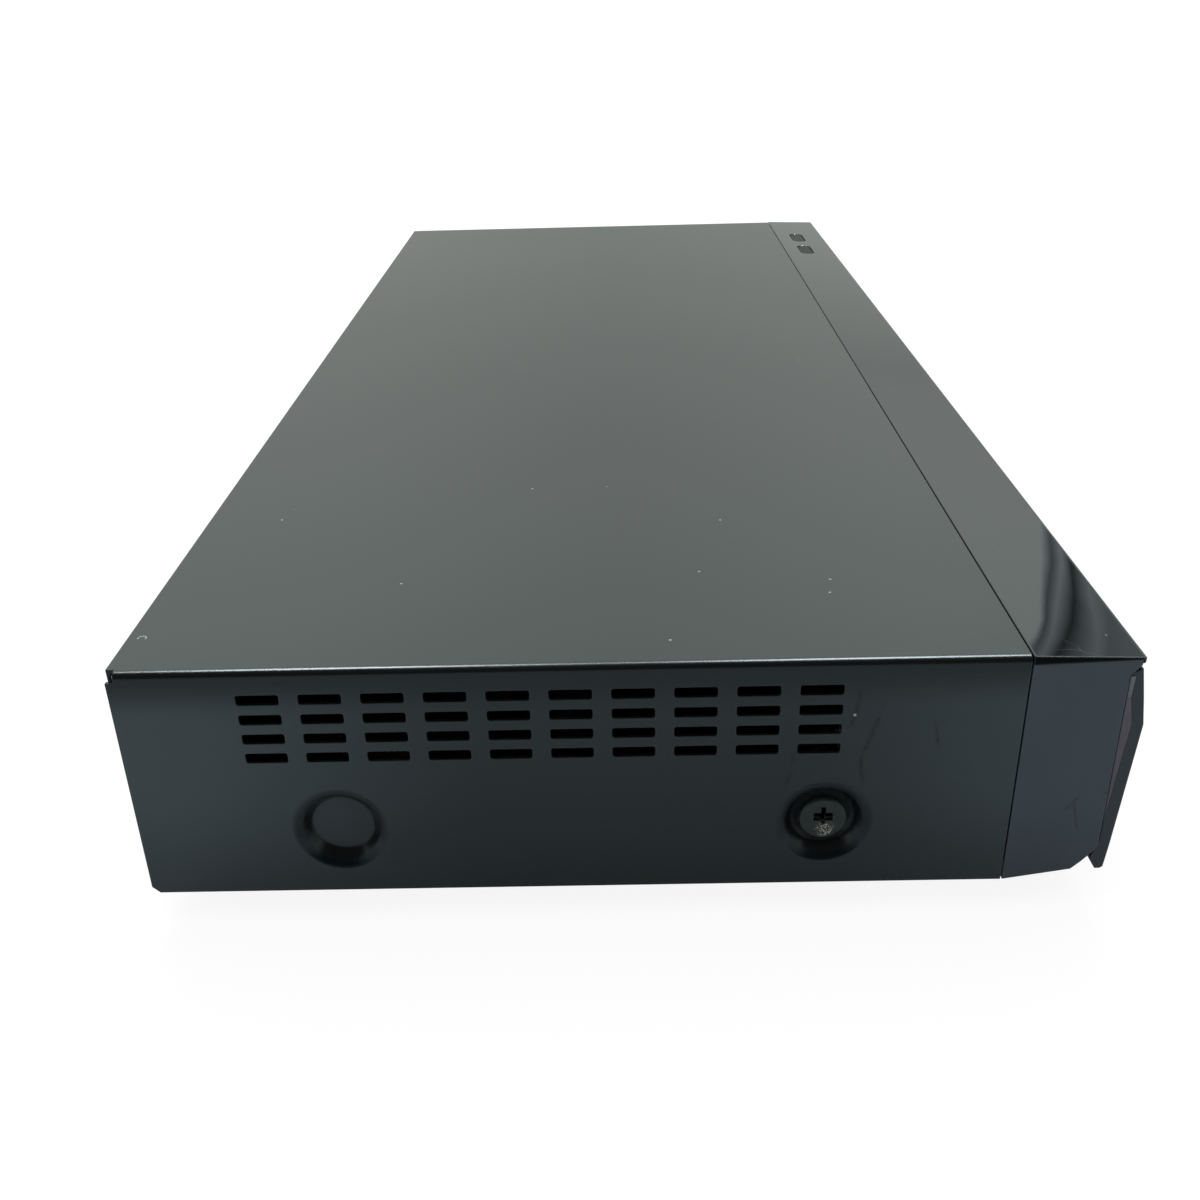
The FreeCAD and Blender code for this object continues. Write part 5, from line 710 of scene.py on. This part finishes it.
def make_looks():
    """Each finish, with the nodes that wear it."""
    return [
        (cover_paint(), "top_cover"),
        (gloss_strip(), "front_top_trim"),
        (frame_plastic(), "front_frame"),
        (door_plastic(), "door_skin tray_fascia"),
        (window_plastic(), "display_window"),
        (smoked_plastic("smoked_wedge", (0.05, 0.042, 0.056), (0.085, 0.072, 0.09), 0.32),
         "door_liner fascia_liner window_liner"),
        (smoked_plastic("catch_block", (0.05, 0.06, 0.06), (0.12, 0.135, 0.135), 0.3), "door_catches"),
        (black_screw(), "cover_screws"),
        (rubber_feet(), "feet"),
        (metal_sheet("zinc_sheet", (0.58, 0.59, 0.58), 0.36, 260.0),
         "bottom_chassis rear_panel drive_bracket loader_cover traverse_plate"),
        (metal_sheet("drawn_aluminium", (0.66, 0.665, 0.68), 0.32, 90.0), "heat_sink"),
        (metal_sheet("black_anodised", (0.05, 0.05, 0.052), 0.42, 90.0), "power_heat_plates"),
        (metal_sheet("tinned_can", (0.6, 0.6, 0.585), 0.26, 120.0), "tuner_box"),
        (metal_sheet("die_cast", (0.5, 0.505, 0.515), 0.42, 700.0), "pickup_sled"),
        (metal_sheet("motor_can", (0.5, 0.5, 0.5), 0.3, 200.0, (900.0, 900.0, 6.0)),
         "loading_motor spindle_motor sled_motor"),
        (turned("bright_screw", (0.6, 0.6, 0.585), 0.28), "frame_screws"),
        (turned("thread_nickel", (0.66, 0.64, 0.6), 0.2), "antenna_connectors"),
        (turned("polished_rod", (0.68, 0.68, 0.7), 0.12), "guide_rods lead_screw door_hinge_pins"),
        (moulded("acetal", (0.62, 0.61, 0.55), 0.36, Subsurface_Weight=0.1, Subsurface_Scale=0.002),
         "tray_gear motor_pinion disc_clamp"),
        (moulded("loader_moulding", (0.03, 0.03, 0.031), 0.46, depth=0.00003), "loader_base"),
        (moulded("fan_moulding", (0.022, 0.022, 0.023), 0.42), "fan_frame fan_rotor"),
        (moulded("socket_moulding", (0.018, 0.018, 0.019), 0.4), "ac_inlet lan_socket smart_card_socket"),
        (moulded("cable_sleeve", (0.02, 0.02, 0.02), 0.5, 1200.0), "power_cable"),
        (moulded("key_satin", (0.003, 0.0035, 0.0037), 0.4, worn=0.1, IOR=1.16), "power_button eject_button"),
        (circuit_board("board_green", (0.006, 0.05, 0.018), (0.014, 0.1, 0.036), (0.6, 0.58, 0.5), 210.0),
         "main_board io_board"),
        (circuit_board("board_tan", (0.09, 0.058, 0.026), (0.13, 0.085, 0.038), (0.5, 0.48, 0.42), 120.0),
         "power_board button_board display_board"),
        (chips_look(), "main_chips tact_switches"),
        (transformer_look(), "transformer"),
        (capacitor_look(), "power_capacitors"),
        (jack_look(), "av_jacks"),
        (drive_look(), "hard_drive"),
        (tray_look(), "disc_tray"),
        (ribbon_look(), "ribbon_cable"),
        (socket_metal(), "usb_sockets hdmi_socket memory_card_socket"),
        (display_glass(), "display_tube"),
        (lens_look(), "pickup_lens"),
        (turntable_look(), "turntable"),
    ]


def dress_cad_nodes():
    dressed = set()
    for look, names in make_looks():
        for name in names.split():
            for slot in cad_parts[name].material_slots:
                slot.material = look
            dressed.add(name)
    left = sorted(set(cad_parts) - dressed)
    if left:
        raise RuntimeError("nodes without a finish: " + ", ".join(left))


# Mesh pieces

LATHE_STEPS = 24


class Builder:
    """Collects simple solids into one mesh object."""

    def __init__(self):
        self.mesh = bmesh.new()

    def add_box(self, x0, x1, y0, y1, z0, z1, bevel, place):
        made = bmesh.ops.create_cube(self.mesh, size=1.0)
        centre = Matrix.Translation(((x0 + x1) / 2, (y0 + y1) / 2, (z0 + z1) / 2))
        size = Matrix.Diagonal((abs(x1 - x0), abs(y1 - y0), abs(z1 - z0), 1.0))
        bmesh.ops.transform(self.mesh, matrix=place @ centre @ size, verts=made["verts"])
        if bevel:
            edges = list({e for v in made["verts"] for e in v.link_edges})
            bmesh.ops.bevel(self.mesh, geom=edges, offset=bevel, segments=1, affect="EDGES",
                            clamp_overlap=True)

    def add_lathe(self, profile, centre):
        """Turns a profile of (height, radius) round a vertical axis."""
        angles = [2 * math.pi * i / LATHE_STEPS for i in range(LATHE_STEPS)]
        rings = [[self.mesh.verts.new(centre + Vector((radius * math.cos(a), radius * math.sin(a), height)))
                  for a in angles] for height, radius in profile]
        for first, second in zip(rings, rings[1:]):
            for i in range(LATHE_STEPS):
                j = (i + 1) % LATHE_STEPS
                self.mesh.faces.new((first[i], first[j], second[j], second[i]))
        self.mesh.faces.new(list(reversed(rings[0])))
        self.mesh.faces.new(rings[-1])

    def add_lump(self, centre, radius):
        """An uneven crumb."""
        made = bmesh.ops.create_icosphere(self.mesh, subdivisions=2, radius=radius)
        squash = Vector([random.uniform(0.55, 1.15) for _ in range(3)])
        for vert in made["verts"]:
            rough = random.uniform(0.8, 1.15)
            vert.co = Vector(centre) + Vector([c * k * rough for c, k in zip(vert.co, squash)])

    def finish(self, name, body, slot, look):
        """Makes the object, unless nothing was collected."""
        if len(self.mesh.faces) == 0:
            self.mesh.free()
            return
        bmesh.ops.recalc_face_normals(self.mesh, faces=self.mesh.faces)
        data = bpy.data.meshes.new(name)
        self.mesh.to_mesh(data)
        self.mesh.free()
        data.shade_smooth()
        data.set_sharp_from_angle(angle=math.radians(35))
        made = add_object(name, data)
        data.materials.append(look)
        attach(made, body)


def solids_tree(skip):
    """One search tree over the CAD nodes, to find out what a new piece would touch."""
    verts = []
    faces = []
    for name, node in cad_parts.items():
        if name in skip:
            continue
        start = len(verts)
        verts.extend(node.matrix_world @ v.co for v in node.data.vertices)
        faces.extend([start + i for i in face.vertices] for face in node.data.polygons)
    return BVHTree.FromPolygons(verts, faces)


class Board:
    """Places small parts on a circuit board wherever nothing stands."""

    EDGE = 0.003
    PART_GAP = 0.0004
    SOLID_GAP = 0.0006
    TRIES = 30

    def __init__(self, node, tree):
        low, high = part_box(node)
        self.top = high.z
        self.tree = tree
        self.range_x = (low.x + self.EDGE, high.x - self.EDGE)
        self.range_y = (low.y + self.EDGE, high.y - self.EDGE)
        self.taken = []

    def free(self, x, y, reach, height):
        for other_x, other_y, other_reach in self.taken:
            if math.hypot(x - other_x, y - other_y) < reach + other_reach + self.PART_GAP:
                return False
        middle = Vector((x, y, self.top + height / 2))
        if self.tree.find_nearest(middle, math.hypot(reach, height / 2) + self.SOLID_GAP)[0] is not None:
            return False
        hit, normal, _, _ = self.tree.ray_cast(middle, Vector((0, 0, 1)))
        return hit is None or normal.z < 0

    def spots(self, count, half_x, half_y, height):
        """Free places, each with its turn: lying along X or along Y."""
        reach = math.hypot(half_x, half_y)
        found = 0
        for _ in range(count * self.TRIES):
            if found == count:
                return
            x = random.uniform(*self.range_x)
            y = random.uniform(*self.range_y)
            across = random.random() < 0.5
            if self.free(x, y, reach, height):
                self.taken.append((x, y, reach))
                found += 1
                turn = Matrix.Rotation(math.pi / 2 if across else 0.0, 4, "Z")
                yield Matrix.Translation((x, y, self.top)) @ turn


def add_chip(bodies, legs, place, length, width, height, pitch):
    """A moulded package with a row of bent legs along each long side."""
    bodies.add_box(-length / 2, length / 2, -width / 2, width / 2, 0.0002, height, 0.00015, place)
    count = int((length - pitch) / pitch)
    for i in range(count):
        x = (i - (count - 1) / 2) * pitch
        for side in (-1, 1):
            legs.add_box(x - pitch * 0.2, x + pitch * 0.2, side * width / 2, side * (width / 2 + 0.0008),
                         0.0, height * 0.45, 0.0, place)


def fill_board(board_name, tree, looks, chips, small, cans, headers):
    board = Board(board_name, tree)
    bodies, metal, ceramic, white, sleeves = (Builder() for _ in range(5))
    for place in board.spots(headers, 0.008, 0.0035, 0.007):
        white.add_box(-0.0075, 0.0075, -0.003, 0.003, 0.0, 0.0014, 0.0002, place)
        white.add_box(-0.0075, 0.0075, 0.0022, 0.003, 0.0014, 0.0065, 0.0002, place)
        for i in range(6):
            x = (i - 2.5) * 0.0022
            metal.add_box(x - 0.0003, x + 0.0003, -0.0003, 0.0003, 0.0014, 0.006, 0.0, place)
    for place in board.spots(cans, 0.0034, 0.0034, 0.0085):
        centre = place.translation
        sleeves.add_lathe([(0.0002, 0.0030), (0.0008, 0.0032), (0.0074, 0.0032), (0.0079, 0.0029)], centre)
        metal.add_lathe([(0.0079, 0.0027), (0.00805, 0.0026)], centre)
    for place in board.spots(chips, 0.0058, 0.0042, 0.0016):
        add_chip(bodies, metal, place, 0.0098, 0.0056, 0.0015, 0.00127)
    for place in board.spots(chips, 0.0034, 0.0034, 0.0013):
        bodies.add_box(-0.003, 0.003, -0.003, 0.003, 0.0, 0.001, 0.0001, place)
        metal.add_box(-0.0012, 0.0012, -0.0012, 0.0012, 0.001, 0.00102, 0.0, place)
    for index, place in enumerate(board.spots(small, 0.0011, 0.0007, 0.0008)):
        part = ceramic if index % 2 else bodies
        part.add_box(-0.0006, 0.0006, -0.0006, 0.0006, 0.0, 0.0006, 0.00005, place)
        for side in (-1, 1):
            metal.add_box(side * 0.0006, side * 0.001, -0.0006, 0.0006, 0.0, 0.0006, 0.00005, place)
    for built, ending, slot, look in ((bodies, "packages", "chip_black", "resin"),
                                      (metal, "contacts", "can_tin", "tin"),
                                      (ceramic, "ceramics", "capacitor_sleeve", "ceramic"),
                                      (white, "headers", "ribbon_white", "white"),
                                      (sleeves, "cans", "capacitor_sleeve", "sleeve")):
        built.finish(board_name + "_" + ending, "housing", slot, looks[look])


def fill_boards():
    tree = solids_tree(("main_board", "io_board", "power_board"))
    looks = {
        "resin": moulded("package_resin", (0.02, 0.02, 0.021), 0.5, depth=0.00002),
        "tin": turned("solder_tin", (0.62, 0.62, 0.6), 0.3),
        "ceramic": moulded("ceramic_chip", (0.2, 0.14, 0.085), 0.45),
        "white": moulded("header_nylon", (0.62, 0.6, 0.52), 0.4),
        "sleeve": moulded("can_sleeve", (0.015, 0.02, 0.05), 0.35),
    }
    for board, chips, small, cans, headers in (("main_board", 9, 190, 7, 3), ("io_board", 4, 90, 4, 2),
                                               ("power_board", 2, 60, 5, 0)):
        fill_board(board, tree, looks, chips, small, cans, headers)


def make_screw_crumbs():
    """Pale dust caught in the lower half of the cross of the screw in the front left dimple."""
    crumbs = Builder()
    face_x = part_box("cover_screws")[0].x
    for _ in range(16):
        y = FRONT_DIMPLE_Y + random.gauss(0.0, 0.0007)
        z = DIMPLE_Z - 0.0011 - abs(random.gauss(0.0, 0.0006))
        crumbs.add_lump((face_x + 0.00005, y, z), random.uniform(0.00005, 0.00013))
    look = Look("crumb")
    look.base(look.blend(look.span(look.noise(2400.0), 0.35, 0.65), (0.32, 0.31, 0.2), (0.6, 0.6, 0.52)))
    look.rough(look.uneven(look.noise(1200.0), 0.8, 0.95))
    crumbs.finish("screw_crumbs", "housing", "black_screw", look.mat)


# Stage, lights and camera

def make_floor():
    """Pale paper. The camera sees it white, with the object's soft shadow kept."""
    reach = 12.0
    data = bpy.data.meshes.new("floor")
    data.from_pydata([(-reach, -reach, 0), (reach, -reach, 0), (reach, reach, 0), (-reach, reach, 0)], [],
                     [(0, 1, 2, 3)])
    floor = add_object("floor", data)
    floor.location.z = -0.0001
    paper = Look("floor_paper", Roughness=0.9, Specular_IOR_Level=0.0)
    seen = paper.rays("Is Camera Ray")
    paper.base(paper.blend(seen, (0.65, 0.72, 0.76), (0.16, 0.16, 0.16)))
    glow = paper.node("ShaderNodeEmission")
    white = paper.ramp(paper.vectors("LENGTH", paper.place)["Value"], 0.35, 0.8, 0.89, 1.0)
    paper.feed(glow.inputs["Strength"], paper.times(white, seen))
    both = paper.wired("ShaderNodeAddShader", (paper.shader.outputs["BSDF"], glow.outputs["Emission"]))
    paper.feed(paper.tree.nodes["Material Output"].inputs["Surface"], both.outputs["Shader"])
    data.materials.append(paper.mat)


def room_height(z):
    """The room's brightness in gloss, by how high the direction points."""
    share = (z - ROOM_LOW[0]) / (ROOM_HIGH[0] - ROOM_LOW[0])
    return ROOM_LOW[1] + share * (ROOM_HIGH[1] - ROOM_LOW[1])


def make_world():
    """White for the camera, an even grey for light. Gloss sees a room: darker low down, dark on the left."""
    studio = bpy.data.worlds.new("studio")
    bpy.context.scene.world = studio
    world = Tree(studio)
    direction = world.wired("ShaderNodeSeparateXYZ", (world.node("ShaderNodeTexCoord").outputs["Generated"],))
    x, y, z = (direction.outputs[name] for name in "XYZ")
    height = world.ramp(z, ROOM_LOW[0], ROOM_HIGH[0], ROOM_LOW[1], ROOM_HIGH[1])
    sideways = world.unsigned(y)
    open_ends = world.times(world.ramp(sideways, 0.5, 0.75, 0.0, 0.8), world.ramp(z, 0.38, 0.52, 1.0, 0.0))
    left = world.larger(world.ramp(x, -0.05, 0.12, 0.02, 1.0), open_ends)
    room = world.times(world.times(height, left), world.ramp(sideways, 0.0, 0.22, 0.9, ROOM_LIT))
    gloss = world.rays("Is Glossy Ray")
    seen = world.rays("Is Camera Ray", "Is Transmission Ray")
    light = world.times(world.minus(1.0, world.larger(gloss, seen)), 0.55)
    back = world.tree.nodes["Background"]
    world.feed(back.inputs["Color"], world.blend(gloss, (1.0, 1.0, 1.0), (0.93, 1.0, 0.95)))
    world.feed(back.inputs["Strength"], world.plus(world.times(room, gloss), world.plus(seen, light)))


def area_light(name, place, target, width, height, power):
    data = bpy.data.lights.new(name, "AREA")
    data.shape = "RECTANGLE"
    data.size = width
    data.size_y = height
    data.energy = power
    lamp = add_object(name, data)
    lamp.location = place
    lamp.rotation_mode = "QUATERNION"
    lamp.rotation_quaternion = (Vector(target) - Vector(place)).to_track_quat("-Z", "Y")
    lamp.visible_camera = False
    return lamp


def make_lights():
    """Two softboxes for the soft light; three small ones that gloss alone sees, mirrored in the near bend."""
    for name, place, width, height, power in (("softbox_top", (-0.1, 0.0, 1.4), 1.2, 1.6, 6.5),
                                              ("softbox_right", (1.2, 0.1, 1.5), 1.9, 0.7, 12.0)):
        area_light(name, place, (0.0, 0.0, 0.0), width, height, power).visible_glossy = False
    for name, place, power in (("edge_rear", (0.065, 0.355, 1.39), 22.0),
                               ("edge_front", (0.065, -0.31, 1.4), 20.0),
                               ("edge_corner", (0.065, -0.62, 1.3), 5.0)):
        area_light(name, place, (-HALF_WIDTH, 0.0, TOP_Z), 0.4, 0.35, power).visible_diffuse = False


def camera_axes():
    """The directions to the camera's right, up and back."""
    level = math.cos(CAMERA_ELEVATION)
    across, along = math.cos(CAMERA_AZIMUTH), math.sin(CAMERA_AZIMUTH)
    back = Vector((along * level, -across * level, math.sin(CAMERA_ELEVATION)))
    right = Vector((across, along, 0.0))
    up = back.cross(right)
    cosine, sine = math.cos(CAMERA_ROLL), math.sin(CAMERA_ROLL)
    return right * cosine + up * sine, up * cosine - right * sine, back


def card_point(u, v):
    """What the strip mirrors at a pixel of the photograph, on a ball round the strip's near end."""
    right, up, back = camera_axes()
    half = PHOTO_SIZE / 2
    ray = (right * (u - half) - up * (v - half) - back * (LENS_MM / SENSOR_MM * PHOTO_SIZE)).normalized()
    camera = Vector(CAMERA_PLACE)
    place = camera + ray * ((TOP_Z - camera.z) / ray.z)
    away = ray.reflect(Vector((0.0, -STRIP_SLOPE, 1.0)).normalized())
    offset = place - STRIP_END
    along = away.dot(offset)
    return place + away * (math.sqrt(along * along - offset.length_squared + CARD_DISTANCE ** 2) - along)


def make_dark_card():
    """A dim, curved, striped card that only gloss sees, mirrored in the near end of the strip."""
    verts = [card_point(u, v) for v, line in STRIPE_MARKS.items() for u in line]
    row = len(STRIPE_SHADES) + 1
    faces = [(i * row + j, i * row + j + 1, (i + 1) * row + j + 1, (i + 1) * row + j)
             for i in range(len(STRIPE_MARKS) - 1) for j in range(row - 1)]
    data = bpy.data.meshes.new("dark_card")
    data.from_pydata(verts, [], faces)
    shade = data.attributes.new("shade", "FLOAT", "POINT")
    for index, item in enumerate(shade.data):
        line = index % row
        item.value = STRIPE_SHADES[line - 1] if line else ROOM_LIT * room_height(verts[index].z - TOP_Z)
    card = add_object("dark_card", data)
    mat = bpy.data.materials.new("dark_card")
    glowing = Tree(mat)
    glowing.tree.nodes.remove(glowing.tree.nodes["Principled BSDF"])
    glow = glowing.node("ShaderNodeEmission")
    glowing.feed(glow.inputs["Color"], (0.84, 0.96, 1.0))
    told = glowing.node("ShaderNodeAttribute", attribute_name="shade")
    glowing.feed(glow.inputs["Strength"], told.outputs["Fac"])
    glowing.feed(glowing.tree.nodes["Material Output"].inputs["Surface"], glow.outputs["Emission"])
    data.materials.append(mat)
    card.visible_camera = card.visible_diffuse = card.visible_shadow = False


def make_camera():
    """At the photograph's place and angle."""
    turn = Matrix(camera_axes()).transposed()
    data = bpy.data.cameras.new("camera")
    data.sensor_width = SENSOR_MM
    data.lens = LENS_MM
    data.clip_start = 0.01
    data.clip_end = 60.0
    camera = add_object("camera", data)
    camera.matrix_world = Matrix.Translation(CAMERA_PLACE) @ turn.to_4x4()
    bpy.context.scene.camera = camera


make_camera()
make_floor()
make_world()
make_lights()
make_dark_card()
dress_cad_nodes()
fill_boards()
make_screw_crumbs()

bpy.context.scene.view_settings.view_transform = "Standard"
